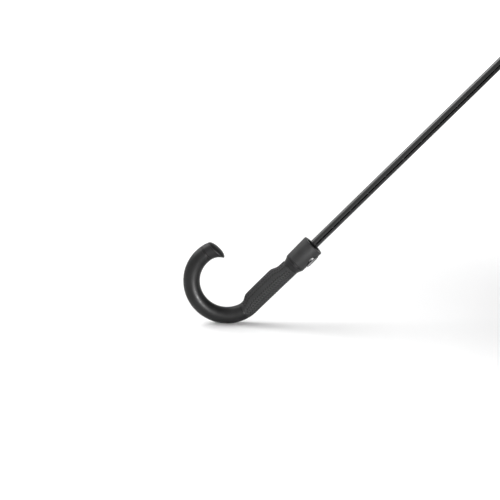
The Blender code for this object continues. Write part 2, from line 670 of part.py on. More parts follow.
def gore_mesh(arc, first, last, columns, rows, hem_sag):
    """Fabric between two ribs: straight across at every height, with its hem curving in."""
    bm = bmesh.new()
    grid = []
    for row in range(rows + 1):
        line = []
        for column in range(columns + 1):
            side = 2 * column / columns - 1
            edge = last - (1 - side * side) * hem_sag / arc
            point = on_arc(arc, first + (edge - first) * row / rows)
            across_half = point.x * math.sin(HALF_PITCH) - FABRIC_EDGE_GAP
            line.append(bm.verts.new((point.x * math.cos(HALF_PITCH), side * across_half, point.z)))
        grid.append(line)
    for low, high in zip(grid, grid[1:]):
        for i in range(columns):
            bm.faces.new((low[i], high[i], high[i + 1], low[i + 1]))
    mesh = bpy.data.meshes.new("gore")
    bm.to_mesh(mesh)
    bm.free()
    return mesh


def gore(name, mesh, parent, pivot):
    piece = node(name, mesh, "canopy_fabric", parent, pivot)
    solidify = piece.modifiers.new("thickness", "SOLIDIFY")
    solidify.thickness = FABRIC
    solidify.offset = -1


# ---------------------------------------------------------------- assembly

def stand_on_floor(root):
    """Shift the umbrella so that its bounding box stands on the floor, centred on the origin."""
    bpy.context.view_layer.update()
    depsgraph = bpy.context.evaluated_depsgraph_get()
    low = Vector((math.inf,) * 3)
    high = Vector((-math.inf,) * 3)
    for piece in bpy.data.objects:
        if piece.type != "MESH":
            continue
        evaluated = piece.evaluated_get(depsgraph)
        for vertex in evaluated.data.vertices:
            point = piece.matrix_world @ vertex.co
            low = Vector(map(min, low, point))
            high = Vector(map(max, high, point))
    root.location -= Vector(((low.x + high.x) / 2, (low.y + high.y) / 2, low.z))


def build():
    for old in list(bpy.data.objects):
        bpy.data.objects.remove(old)
    material("handle_black", (0.03, 0.03, 0.031), 0.42)
    material("grip_rubber", (0.028, 0.028, 0.029), 0.62)
    material("collar_plastic", (0.045, 0.045, 0.047), 0.45)
    material("button_plastic", (0.09, 0.09, 0.093), 0.4)
    material("shaft_black", (0.012, 0.012, 0.013), 0.18)
    material("frame_plastic", (0.02, 0.02, 0.021), 0.35)
    material("rib_fibre", (0.02, 0.02, 0.021), 0.3)
    material("canopy_fabric", (0.022, 0.023, 0.026), 0.75)
    material("bright_steel", (0.6, 0.6, 0.62), 0.25, 1.0)
    material("dark_steel", (0.12, 0.12, 0.13), 0.35, 1.0)

    root = empty("umbrella")
    root.rotation_euler.y = SHAFT_TILT
    crook_hook(root)
    crook_end(root)
    grip_sleeve(root)
    collar(root)
    push_button(root)
    latch_plate(root)
    shaft(root)
    top_notch(root)
    runner(root)
    crown_cap(root)

    inner = rib_inner_mesh()
    outer = rib_outer_mesh()
    stretcher = stretcher_mesh()
    upper = gore_mesh(UPPER_ARC, math.asin(CANOPY_EYE_RADIUS / UPPER_ARC), UPPER_EDGE_ANGLE, 1, 7, 0)
    lower = gore_mesh(CANOPY_ARC, LOWER_EDGE_ANGLE, CORNER_ANGLE, 4, 7, HEM_SAG)
    for i in range(RIBS):
        number = i + 1
        rib_plane = empty("rib_plane_%d" % number, root, HALF_PITCH + RIB_PITCH * i)
        node("rib_inner_%d" % number, inner, "rib_fibre", rib_plane, RIB_PIVOT)
        node("rib_outer_%d" % number, outer, "rib_fibre", rib_plane, RIB_JOINT)
        node("stretcher_%d" % number, stretcher, "rib_fibre", rib_plane, STRETCHER_PIVOT)
        gore_plane = empty("gore_plane_%d" % number, root, RIB_PITCH * i)
        gore("canopy_upper_%d" % number, upper, gore_plane, UPPER_PIVOT)
        gore("canopy_lower_%d" % number, lower, gore_plane, LOWER_PIVOT)
    stand_on_floor(root)


build()
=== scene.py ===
"""Golf umbrella: finished surfaces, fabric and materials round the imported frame.

Every piece is modelled in the umbrella's own frame, which is worked out from the joints: Z runs
along the shaft towards the canopy, the origin is beside the centre of the crook's bend, and the
crook hooks towards -X. Lengths are in metres.
"""
import json
import random
from math import asin, atan2, cos, exp, hypot, pi, radians, sin, tau

import bmesh
import bpy
from mathutils import Matrix, Vector


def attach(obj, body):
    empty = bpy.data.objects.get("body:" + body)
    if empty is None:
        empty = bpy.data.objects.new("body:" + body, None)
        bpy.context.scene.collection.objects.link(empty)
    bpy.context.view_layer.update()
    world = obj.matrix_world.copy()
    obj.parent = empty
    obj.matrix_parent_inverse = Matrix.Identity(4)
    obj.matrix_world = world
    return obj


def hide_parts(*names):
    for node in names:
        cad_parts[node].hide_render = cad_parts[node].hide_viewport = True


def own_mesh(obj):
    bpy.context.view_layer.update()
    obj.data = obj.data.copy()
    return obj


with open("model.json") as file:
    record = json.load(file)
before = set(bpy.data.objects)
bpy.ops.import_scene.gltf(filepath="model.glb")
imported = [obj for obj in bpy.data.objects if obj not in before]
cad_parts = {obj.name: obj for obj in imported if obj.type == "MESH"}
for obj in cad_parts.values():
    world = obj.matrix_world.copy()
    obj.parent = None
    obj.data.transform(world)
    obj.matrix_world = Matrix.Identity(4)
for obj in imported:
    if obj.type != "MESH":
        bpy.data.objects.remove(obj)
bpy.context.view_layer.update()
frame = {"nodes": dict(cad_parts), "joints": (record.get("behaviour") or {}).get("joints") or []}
JOINTS = {joint["name"]: joint for joint in frame["joints"]}

MM = 0.001
GAP = 0.3 * MM
FIXED = "handle_and_shaft"

# Crook, grip and collar
BUTTON_PIVOT = Vector((11.5 * MM, 0, 104.5 * MM))
BEND_RADIUS = 53.7 * MM
CROOK_TUBE = 12.8 * MM
CORE = 10 * MM
BEND_END = radians(190.7)
SLEEVE_END = radians(14.4)
SLEEVE_TOP = 83 * MM
NECK_TOP = 95.3 * MM
END_PLANE = 23.7 * MM
END_MIDDLE = 45.2 * MM
END_HALF = 16.6 * MM
COLLAR_FOOT = 95.7 * MM
COLLAR_TOP = 133.6 * MM
COLLAR = 17.5 * MM
MOUTH = 11.6 * MM
CAVITY = 13.6 * MM
CAVITY_TOP = 128.5 * MM
BUTTON_ROUND = 18.5 * MM

# Shaft and latch
SHAFT = 7 * MM
SHAFT_INSIDE = 5.5 * MM
SHAFT_FOOT = 20.5 * MM
SLOT_ANGLE = radians(-81)
SLOT_HALF = 1.0 * MM
SLOT_FOOT = 128 * MM
DRIVE_PIN_DROP = 13 * MM
SLIDER_BELOW = 9 * MM
SPRING_FOOT = 70 * MM
LATCH_HEIGHT = 113.4 * MM
LATCH_THICK = 1.8 * MM
NOSE = 9.4 * MM
NOSE_GROOVE = 8.6 * MM
PIN = 0.7 * MM

# Seams of the crook and the collar
SEAM_GAP = radians(0.4)
SEAM_ROUND = radians(0.18)
ROUND_STEPS = 112

# Folding frame
RIBS = 8
RIB_PITCH = tau / RIBS
HALF_PITCH = RIB_PITCH / 2
TIP_RADIUS = 720 * MM
CROWN_RADIUS = 17 * MM
HUB = 9.6 * MM
WIRE = 0.6 * MM
EYE = 2.8 * MM
TAB_HALF = 1.1 * MM
TAB_LENGTH = 9.5 * MM
RIB = 2.0 * MM
STRETCHER = 1.8 * MM
TAB_FLAT = 0.85 * TAB_HALF
TAB_EDGE = 0.3 * MM
LAP_NEAR = 0.2 * MM
LAP_FAR = 1.8 * MM
LAP_HALF = 1.7 * MM
LAP_LENGTH = 7 * MM
ROD_START = 3.2 * MM
WIRE_HOLE = 0.95 * MM
RIVET = 0.8 * MM

# Canopy
RIB_DROP = 4.5 * MM
FABRIC = 0.5 * MM
UPPER_LIFT = 1.5 * MM
CANOPY_EYE_RADIUS = 19.5 * MM
CORNER_INSET = 14 * MM
HEM_SAG = 28 * MM
UPPER_OVERHANG = 35 * MM
LOWER_TUCK = 45 * MM
SEAM_HALF = 4 * MM
HEM_WIDTH = 9 * MM
FABRIC_DIP = 6 * MM
UPPER_KEEP = 0.11
LOWER_KEEP = 0.075


def umbrella_frame():
    """Matrix from the umbrella's own frame to the row frame."""
    along = -Vector(JOINTS["runner_slide"]["axis"])
    away_from_hook = -Vector(JOINTS["latch_slide"]["axis"])
    turn = Matrix((away_from_hook, along.cross(away_from_hook), along)).transposed()
    origin = Vector(JOINTS["button_press"]["pos_m"]) - turn @ BUTTON_PIVOT
    return Matrix.Translation(origin) @ turn.to_4x4()


UMBRELLA = umbrella_frame()


def pivot_in_rib_plane(joint):
    """A joint's place in its rib's plane: X is the distance from the shaft's axis."""
    point = UMBRELLA.inverted() @ Vector(JOINTS[joint]["pos_m"])
    return Vector((hypot(point.x, point.y), 0, point.z))


RIB_PIVOT = pivot_in_rib_plane("rib_fold_1")
RIB_JOINT = pivot_in_rib_plane("rib_flex_1")
STRETCHER_PIVOT = pivot_in_rib_plane("stretcher_fold_1")
DOME_CENTRE = ((RIB_JOINT.length_squared - RIB_PIVOT.length_squared)
               / (2 * (RIB_JOINT.z - RIB_PIVOT.z)))
RIB_ARC = (RIB_PIVOT - Vector((0, 0, DOME_CENTRE))).length
CANOPY_ARC = RIB_ARC + RIB_DROP
UPPER_ARC = CANOPY_ARC + UPPER_LIFT
DOME_TOP = DOME_CENTRE + CANOPY_ARC
PIVOT_ANGLE = asin(RIB_PIVOT.x / RIB_ARC)
SPLIT_ANGLE = asin(RIB_JOINT.x / RIB_ARC)
TIP_ANGLE = asin(TIP_RADIUS / RIB_ARC)
CORNER_ANGLE = TIP_ANGLE - CORNER_INSET / CANOPY_ARC
EYE_ANGLE = asin(CANOPY_EYE_RADIUS / UPPER_ARC)
UPPER_EDGE_ANGLE = SPLIT_ANGLE + UPPER_OVERHANG / CANOPY_ARC
LOWER_EDGE_ANGLE = SPLIT_ANGLE - LOWER_TUCK / CANOPY_ARC
CAP_ANGLE = CORNER_ANGLE + 2.5 * MM / RIB_ARC
RUNNER_OPEN = 2 * STRETCHER_PIVOT.z - RIB_PIVOT.z
DRIVE_PIN_HEIGHT = RUNNER_OPEN - DRIVE_PIN_DROP
RUNNER_TRAVEL = JOINTS["runner_slide"]["range_m"][1]


# ---- mesh helpers

X_AXIS, Y_AXIS, Z_AXIS = Vector((1, 0, 0)), Vector((0, 1, 0)), Vector((0, 0, 1))


def in_mm(*rows):
    """Rows of lengths given in millimetres, in metres."""
    return [tuple(length * MM for length in row) for row in rows]


def new_object(name, data):
    item = bpy.data.objects.new(name, data)
    bpy.context.collection.objects.link(item)
    return item


def circle(centre, first, second, radius, sides):
    """Ring of points round a centre, in the plane of two directions."""
    return [centre + first * (radius * cos(tau * i / sides))
            + second * (radius * sin(tau * i / sides)) for i in range(sides)]


def level_circle(radius, height, sides):
    return circle(Vector((0, 0, height)), X_AXIS, Y_AXIS, radius, sides)


def coil(start, along, first, second, radius, turns, steps):
    """Points of a coil that starts at a point and runs along a line."""
    points = []
    for i in range(turns * steps + 1):
        angle = tau * i / steps
        points.append(start + along * (i / (turns * steps))
                      + first * (radius * cos(angle)) + second * (radius * sin(angle)))
    return points


def smoothed(mesh, angle=radians(32)):
    mesh.shade_smooth()
    mesh.set_sharp_from_angle(angle=angle)
    return mesh


def mesh_of(points, faces, shades=None):
    """Mesh of points and faces; shades is a value of painted shade for each point, kept as an
    attribute.
    """
    mesh = bpy.data.meshes.new("surface")
    mesh.from_pydata([tuple(point) for point in points], [], faces)
    if shades:
        mesh.attributes.new("shade", "FLOAT", "POINT").data.foreach_set("value", shades)
    bm = bmesh.new()
    bm.from_mesh(mesh)
    bmesh.ops.remove_doubles(bm, verts=bm.verts, dist=0.0005 * MM)
    bmesh.ops.recalc_face_normals(bm, faces=bm.faces)
    bm.to_mesh(mesh)
    bm.free()
    return smoothed(mesh)


def skin(rings, loop=False, shades=None):
    """Surface over rings of points, capped at both ends or joined end to end."""
    count = len(rings[0])
    points = [point for ring in rings for point in ring]
    faces = []
    for row in range(len(rings) if loop else len(rings) - 1):
        low = row * count
        high = (row + 1) % len(rings) * count
        for i in range(count):
            j = (i + 1) % count
            faces.append((low + i, low + j, high + j, high + i))
    if not loop:
        faces.append(tuple(range(count)))
        faces.append(tuple(range(len(points) - count, len(points))))
    return mesh_of(points, faces, shades)


def turned(profile, steps=64):
    """Outline of (radius, height) points turned about Z; it may start and end on the axis."""
    rings = [level_circle(radius, height, steps) for radius, height in profile]
    return skin(rings, loop=profile[0][0] > 0)


def softened(outline, radius, closed=True, steps=3):
    """Outline of flat points with its corners rounded."""
    result = []
    for i, point in enumerate(outline):
        corner = Vector(point)
        if not closed and i in (0, len(outline) - 1):
            result.append(corner)
            continue
        before = Vector(outline[i - 1]) - corner
        after = Vector(outline[(i + 1) % len(outline)]) - corner
        reach = min(radius, before.length / 2.1, after.length / 2.1)
        start = corner + before.normalized() * reach
        end = corner + after.normalized() * reach
        for k in range(steps + 1):
            t = k / steps
            result.append(start * (1 - t) ** 2 + corner * 2 * t * (1 - t) + end * t * t)
    return result


def plate(outline, y_low, y_high, edge=0.0):
    """Outline of (x, z) points extruded along Y, with its rims rounded by an edge radius."""
    centre = sum((Vector(point) for point in outline), Vector((0, 0))) / len(outline)
    reach = max((Vector(point) - centre).length for point in outline)
    rings = []
    for share, inset in ((0, 1), (0.3, 0.3), (1, 0)) if edge else ((0, 0),):
        rings.append((y_low + edge * share, 1 - edge * inset / reach))
    rings += [(y_low + y_high - y, size) for y, size in reversed(rings)]
    return skin([[Vector((centre.x + (x - centre.x) * size, y, centre.y + (z - centre.y) * size))
                  for x, z in outline] for y, size in rings])


def capsule(start, end, radius, steps=8):
    """Outline round two points: half a circle at each end, straight sides between."""
    heading = atan2(end[1] - start[1], end[0] - start[0])
    points = []
    for centre, facing in ((end, heading), (start, heading + pi)):
        for i in range(steps + 1):
            angle = facing - pi / 2 + pi * i / steps
            points.append((centre[0] + radius * cos(angle),
                           centre[1] + radius * sin(angle)))
    return points


def tube(path, radius, sides=12, loop=False):
    """Round tube along points; the radius is a number or one for each point."""
    radii = radius if isinstance(radius, list) else [radius] * len(path)
    count = len(path)
    rings = []
    side = None
    for i, point in enumerate(path):
        if loop:
            along = (path[(i + 1) % count] - path[i - 1]).normalized()
        else:
            along = (path[min(i + 1, count - 1)] - path[max(i - 1, 0)]).normalized()
        side = along.orthogonal() if side is None else side - along * side.dot(along)
        side.normalize()
        rings.append(circle(point, side, along.cross(side), radii[i], sides))
    return skin(rings, loop=loop)


def rod(start, end, radius, sides=16):
    return tube([start, end], radius, sides)


def across(centre, y_low, y_high, radius, sides=20):
    """Short round pin along Y."""
    return rod(centre + Y_AXIS * y_low, centre + Y_AXIS * y_high, radius, sides)


def box(low, high):
    outline = [(low[0], low[2]), (high[0], low[2]), (high[0], high[2]), (low[0], high[2])]
    return plate(outline, low[1], high[1])


def combined(base, added=(), removed=(), kept=()):
    """Mesh of a base joined with some meshes, cut by others and trimmed to others."""
    body = new_object("body", base)
    helpers = []
    for operation, meshes in (("UNION", added), ("DIFFERENCE", removed), ("INTERSECT", kept)):
        for mesh in meshes:
            helper = new_object("helper", mesh)
            modifier = body.modifiers.new(operation, "BOOLEAN")
            modifier.operation = operation
            modifier.solver = "EXACT"
            modifier.object = helper
            helpers.append(helper)
    depsgraph = bpy.context.evaluated_depsgraph_get()
    result = bpy.data.meshes.new_from_object(body.evaluated_get(depsgraph))
    for item in [body] + helpers:
        bpy.data.objects.remove(item)
    result.materials.clear()
    return smoothed(result)


def joined(meshes):
    """Several closed meshes as one."""
    bm = bmesh.new()
    for mesh in meshes:
        bm.from_mesh(mesh)
    mesh = bpy.data.meshes.new("surface")
    bm.to_mesh(mesh)
    bm.free()
    return smoothed(mesh)


def moved(mesh, matrix):
    copy = mesh.copy()
    copy.transform(matrix)
    return copy


def through(points):
    """Smooth curve through rows of (position, value, value, ...), in any order.

    The result is a function that gives the values at a position.
    """
    points = sorted(points)

    def slopes(column):
        steps = [(b[column] - a[column]) / (b[0] - a[0]) for a, b in zip(points, points[1:])]
        middle = [0 if a * b <= 0 else 2 * a * b / (a + b) for a, b in zip(steps, steps[1:])]
        return [steps[0]] + middle + [steps[-1]]

    columns = range(1, len(points[0]))
    tangents = {column: slopes(column) for column in columns}

    def at(position):
        position = min(max(position, points[0][0]), points[-1][0])
        k = max(i for i in range(len(points) - 1) if points[i][0] <= position)
        low, high = points[k], points[k + 1]
        span = high[0] - low[0]
        t = (position - low[0]) / span
        values = []
        for column in columns:
            start, end = tangents[column][k] * span, tangents[column][k + 1] * span
            values.append((2 * t ** 3 - 3 * t ** 2 + 1) * low[column]
                          + (t ** 3 - 2 * t ** 2 + t) * start
                          + (3 * t ** 2 - 2 * t ** 3) * high[column] + (t ** 3 - t ** 2) * end)
        return values
    return at


def steps_between(start, end, count):
    return [start + (end - start) * i / count for i in range(count + 1)]


def bell(distance, width):
    return exp(-(distance / width) ** 2)


def on_arc(radius, angle):
    """Point of a dome arc in a radial plane."""
    return Vector((radius * sin(angle), 0, DOME_CENTRE + radius * cos(angle)))


def outward(angle):
    """Direction square to a dome at an angle from the shaft."""
    return Vector((sin(angle), 0, cos(angle)))


def flat(point):
    return (point.x, point.z)


# ---- materials

def shader_material(name, colour, roughness, metallic=0.0):
    """New material, with its node tree and its shader."""
    finish = bpy.data.materials.new(name)
    finish.use_nodes = True
    shader = finish.node_tree.nodes["Principled BSDF"]
    shader.inputs["Base Color"].default_value = (*colour, 1)
    shader.inputs["Roughness"].default_value = roughness
    shader.inputs["Metallic"].default_value = metallic
    return finish, finish.node_tree, shader


def new_node(tree, kind, **inputs):
    """A shader node; each input is given a constant or the socket that feeds it."""
    node = tree.nodes.new("ShaderNode" + kind)
    for name, value in inputs.items():
        socket = node.inputs[name.replace("_", " ")]
        if isinstance(value, bpy.types.NodeSocket):
            tree.links.new(value, socket)
        else:
            socket.default_value = value
    return node


def coordinates(tree, source="Object", stretch=(1, 1, 1)):
    """Scaled texture coordinates: the umbrella's own frame, or one of the piece's UV maps."""
    mapping = tree.nodes.new("ShaderNodeMapping")
    if source == "Object":
        origin = tree.nodes.new("ShaderNodeTexCoord").outputs["Object"]
        mapping.vector_type = "TEXTURE"
        mapping.inputs["Location"].default_value = UMBRELLA.translation
        mapping.inputs["Rotation"].default_value = UMBRELLA.to_euler()
        mapping.inputs["Scale"].default_value = [1 / share for share in stretch]
    else:
        layer = tree.nodes.new("ShaderNodeUVMap")
        layer.uv_map = source
        origin = layer.outputs["UV"]
        mapping.inputs["Scale"].default_value = stretch
    tree.links.new(origin, mapping.inputs["Vector"])
    return mapping.outputs["Vector"]


def noise(tree, vector, scale, detail=3.0, roughness=0.55):
    return new_node(tree, "TexNoise", Vector=vector, Scale=scale, Detail=detail,
                    Roughness=roughness).outputs["Fac"]


def mapped(tree, value, low, high, from_low=0.35, from_high=0.65):
    return new_node(tree, "MapRange", Value=value, From_Min=from_low, From_Max=from_high,
                    To_Min=low, To_Max=high).outputs["Result"]


def blended(tree, factor, first, second):
    """Colour between two colours."""
    mix = tree.nodes.new("ShaderNodeMix")
    mix.data_type = "RGBA"
    for socket, colour in ((mix.inputs[6], first), (mix.inputs[7], second)):
        if isinstance(colour, tuple):
            socket.default_value = (*colour, 1)
        else:
            tree.links.new(colour, socket)
    tree.links.new(factor, mix.inputs[0])
    return mix.outputs[2]


def calculated(tree, operation, first, second):
    node = tree.nodes.new("ShaderNodeMath")
    node.operation = operation
    for socket, value in zip(node.inputs, (first, second)):
        if isinstance(value, (int, float)):
            socket.default_value = value
        else:
            tree.links.new(value, socket)
    return node.outputs[0]


def bumped(tree, shader, height, distance, strength=1.0):
    bump = new_node(tree, "Bump", Height=height, Distance=distance, Strength=strength)
    earlier = shader.inputs["Normal"].links
    if earlier:
        tree.links.new(earlier[0].from_socket, bump.inputs["Normal"])
    tree.links.new(bump.outputs["Normal"], shader.inputs["Normal"])


def dressed(tree, shader, tone, marks, rough_low, rough_high, relief, depth):
    """Give a shader its colour, a roughness that varies with some marks, and its relief."""
    tree.links.new(tone, shader.inputs["Base Color"])
    tree.links.new(mapped(tree, marks, rough_low, rough_high), shader.inputs["Roughness"])
    bumped(tree, shader, relief, depth)


def moulded(name, colour, roughness, grain, depth, gloss=0.5, pits=False):
    """Moulded plastic or rubber: fine spark grain, faint clouding and handling marks.

    With pits, the mesh's shade attribute paints shade into the bottoms of its dimples.
    """
    finish, tree, shader = shader_material(name, colour, roughness)
    shader.inputs["Specular IOR Level"].default_value = gloss
    place_in = coordinates(tree)
    clouds = noise(tree, place_in, 55, 4)
    worn = tuple(min(1, channel * 1.3 + 0.002) for channel in colour)
    tone = blended(tree, mapped(tree, clouds, 0, 1), colour, worn)
    # Painted shade: the dimples' bottoms are darkened by the mesh's shade attribute.
    if pits:
        shade = tree.nodes.new("ShaderNodeAttribute")
        shade.attribute_name = "shade"
        pit_shade_colour = tuple(channel * 0.05 for channel in colour)
        tone = blended(tree, shade.outputs["Fac"], tone, pit_shade_colour)
    marks = noise(tree, coordinates(tree, stretch=(1, 1, 0.35)), 240, 5, 0.7)
    dressed(tree, shader, tone, marks, roughness - 0.06, roughness + 0.09,
            noise(tree, place_in, grain, 2), depth)
    return finish


def lacquer(name, colour, roughness):
    """Gloss coat over a drawn tube: faint orange peel and lengthwise draw lines."""
    finish, tree, shader = shader_material(name, colour, roughness)
    drawn = noise(tree, coordinates(tree, stretch=(1, 1, 0.02)), 900, 2)
    dust = noise(tree, coordinates(tree), 130, 6, 0.75)
    tone = blended(tree, mapped(tree, dust, 0, 1, 0.5, 0.8), colour,
                   tuple(channel * 1.8 + 0.006 for channel in colour))
    dressed(tree, shader, tone, drawn, roughness - 0.04, roughness + 0.10,
            noise(tree, coordinates(tree), 420, 2), 0.02 * MM)
    return finish


def fibreglass(name):
    """Pultruded rod: fibres run its length under a satin surface."""
    colour = (0.018, 0.018, 0.019)
    finish, tree, shader = shader_material(name, colour, 0.34)
    fibres = noise(tree, coordinates(tree, stretch=(1, 1, 0.03)), 1500, 3)
    tone = blended(tree, mapped(tree, fibres, 0, 1), colour, (0.034, 0.034, 0.036))
    dressed(tree, shader, tone, fibres, 0.28, 0.46, fibres, 0.03 * MM)
    return finish


def metal(name, colour, roughness, stretch):
    """Drawn or pressed steel with fine directional marks and a little staining."""
    finish, tree, shader = shader_material(name, colour, roughness, 1.0)
    lines = noise(tree, coordinates(tree, stretch=stretch), 1100, 3)
    stains = noise(tree, coordinates(tree), 160, 5, 0.65)
    tone = blended(tree, mapped(tree, stains, 0, 1), colour,
                   tuple(channel * 0.72 for channel in colour))
    dressed(tree, shader, tone, lines, roughness - 0.08, roughness + 0.12, lines, 0.01 * MM)
    return finish


def canopy_fabric():
    """Plain-weave pongee: fine warp and weft, slight sheen, thread along the seams and hem."""
    colour = (0.016, 0.0165, 0.0185)
    finish, tree, shader = shader_material("pongee", colour, 0.62)
    threads = []
    for axis in ("X", "Y"):
        wave = new_node(tree, "TexWave", Vector=coordinates(tree, "cloth"), Scale=620,
                        Distortion=0.6, Detail=1)
        wave.bands_direction = axis
        threads.append(wave.outputs["Fac"])
    weave = calculated(tree, "MAXIMUM", *threads)
    slubs = noise(tree, coordinates(tree, "cloth", (1, 0.04, 1)), 900, 2)
    tone = calculated(tree, "ADD", calculated(tree, "MULTIPLY", weave, 0.35), slubs)
    cloth = blended(tree, mapped(tree, tone, 0, 1, 0.35, 1.1), colour, (0.031, 0.032, 0.035))

    def stitches(layer, distance):
        """Dashes of thread along a line at a distance from a seam or hem."""
        split = new_node(tree, "SeparateXYZ", Vector=coordinates(tree, layer))
        off_line = calculated(tree, "ABSOLUTE",
                              calculated(tree, "SUBTRACT", split.outputs[0], distance), 0)
        near = calculated(tree, "LESS_THAN", off_line, 0.35 * MM)
        phase = calculated(tree, "FRACT", calculated(tree, "DIVIDE", split.outputs[1], 3 * MM), 0)
        return calculated(tree, "MULTIPLY", near, calculated(tree, "LESS_THAN", phase, 0.72))

    thread = calculated(tree, "MAXIMUM", stitches("seam", 2.6 * MM), stitches("hem", 7.2 * MM))
    tone = blended(tree, thread, cloth, (0.055, 0.056, 0.06))
    bumped(tree, shader, weave, 0.05 * MM, 0.6)
    dressed(tree, shader, tone, slubs, 0.52, 0.70, thread, 0.15 * MM)
    shader.inputs["Sheen Weight"].default_value = 0.25
    shader.inputs["Sheen Roughness"].default_value = 0.45
    shader.inputs["Sheen Tint"].default_value = (0.75, 0.77, 0.82, 1)
    return finish


FINISHES = {
    "handle_plastic": moulded("satin_plastic", (0.0035, 0.0035, 0.0036), 0.40, 2600, 0.02 * MM,
                              0.23),
    # The grip's rubber has painted shade in the bottoms of its dimples.
    "grip_rubber": moulded("grip_rubber", (0.0088, 0.0088, 0.009), 0.5, 1900, 0.04 * MM, 0.27,
                           pits=True),
    "collar_plastic": moulded("collar_plastic", (0.0085, 0.0085, 0.0087), 0.5, 2200,
                              0.025 * MM, 0.25),
    "button_plastic": moulded("button_plastic", (0.11, 0.11, 0.112), 0.5, 2200, 0.02 * MM, 0.3),
    # Near-white plastic that paints a bright spot of light inside the button's notch.
    "light_spot_plastic": moulded("light_spot_plastic", (0.86, 0.86, 0.86), 0.4, 2200, 0.01 * MM),
    "shaft_coat": lacquer("shaft_lacquer", (0.0015, 0.0015, 0.0016), 0.17),
    "frame_plastic": moulded("frame_plastic", (0.014, 0.014, 0.0143), 0.33, 1800, 0.02 * MM),
    "rib_fibre": fibreglass("rib_fibreglass"),
    "canopy_fabric": canopy_fabric(),
    "bright_steel": metal("bright_steel", (0.62, 0.62, 0.63), 0.26, (1, 1, 0.1)),
    "dark_steel": metal("blackened_steel", (0.10, 0.10, 0.105), 0.38, (0.1, 1, 1)),
}


def place(name, mesh, slot, body, nodes=(), turn=0.0, finish=None):
    """A piece in the umbrella's frame, riding on a body and standing for some CAD nodes.

    Its material is its slot's, or the one that finish names.
    """
    mesh = moved(mesh, UMBRELLA @ Matrix.Rotation(turn, 4, "Z"))
    mesh.materials.append(FINISHES[finish or slot])
    piece = new_object(name, mesh)
    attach(piece, body)
    if nodes:
        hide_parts(*nodes)
    return piece


# ---- crook and grip

def bend_ring(angle, outer, inner=None, half_width=None, sides=72, relief=None):
    """Section of the handle in its bend; relief moves a point in or out by its own angle."""
    inner = outer if inner is None else inner
    half_width = outer if half_width is None else half_width
    radial = Vector((cos(angle), 0, -sin(angle)))
    centre = Vector((-BEND_RADIUS, 0, 0)) + radial * (BEND_RADIUS + (outer - inner) / 2)
    ring = []
    for i in range(sides):
        t = tau * i / sides
        out = radial * cos(t) + Vector((0, sin(t), 0))
        point = centre + radial * ((outer + inner) / 2 * cos(t))
        point += Vector((0, half_width * sin(t), 0))
        ring.append(point + out * relief(t) if relief else point)
    return ring


def handle_ring(along, *sizes, **more):
    """Section of the handle by its length along the shaft, or round the bend below zero."""
    if along < 0:
        return bend_ring(-along / BEND_RADIUS, *sizes, **more)
    return [point + Vector((0, 0, along)) for point in bend_ring(0, *sizes, **more)]


def facing(angle, centre, width):
    """Smooth window round an angle of a section, 1 in the middle."""
    off = (angle - centre + pi) % tau - pi
    return exp(-(abs(off) / width) ** 4)


FRONT = radians(-90)
BACK = radians(90)


def crook_moulding():
    """Neck, hidden core and crook in one moulding."""
    neck = through([(SLEEVE_TOP + 0.4 * MM, 13.2 * MM), (NECK_TOP, 16.6 * MM)]
                   + in_mm((86, 13.5), (91, 15.3), (94.5, 16.8)))
    collar_seat = 13.1 * MM
    bore = SHAFT + GAP / 2
    rings = [handle_ring(height, size) for height, size in (
        (SHAFT_FOOT, bore), (NECK_TOP + 4.5 * MM, bore), (NECK_TOP + 4.7 * MM, bore + 0.3 * MM),
        (NECK_TOP + 4.7 * MM, collar_seat - 0.3 * MM), (NECK_TOP + 4.4 * MM, collar_seat),
        (NECK_TOP, collar_seat), (NECK_TOP, 16.3 * MM))]
    for height in steps_between(NECK_TOP - 0.3 * MM, SLEEVE_TOP + 0.8 * MM, 34):
        bead = 0.5 * MM * bell(height - 92.6 * MM, 0.55 * MM)
        rings.append(handle_ring(height, neck(height)[0], relief=lambda t: bead * (
            facing(t, FRONT, 0.42) + facing(t, BACK, 0.42))))
    shoulder = SLEEVE_END + radians(0.45)
    rings += [handle_ring(SLEEVE_TOP + 0.4 * MM, 12.8 * MM),
              handle_ring(SLEEVE_TOP + 0.4 * MM, CORE), handle_ring(0, CORE),
              bend_ring(shoulder, CORE), bend_ring(shoulder, CROOK_TUBE - 0.5 * MM),
              bend_ring(shoulder + SEAM_ROUND, CROOK_TUBE - 0.16 * MM)]
    first = shoulder + radians(0.6)
    last = BEND_END - radians(0.6)
    rings += [bend_ring(angle, CROOK_TUBE) for angle in steps_between(first, last, 110)]
    rings += [bend_ring(BEND_END - SEAM_ROUND, CROOK_TUBE - 0.12 * MM),
              bend_ring(BEND_END, CROOK_TUBE - 0.45 * MM)]
    place("crook_moulding", skin(rings), "handle_plastic", FIXED, ["crook_hook"])


def end_ring(height, middle, half_length, half_width, sides=72):
    """Oval section of the crook's end, square to the shaft."""
    return [Vector((-BEND_RADIUS - middle - half_length * cos(t), half_width * sin(t),
                    height)) for t in (tau * i / sides for i in range(sides))]


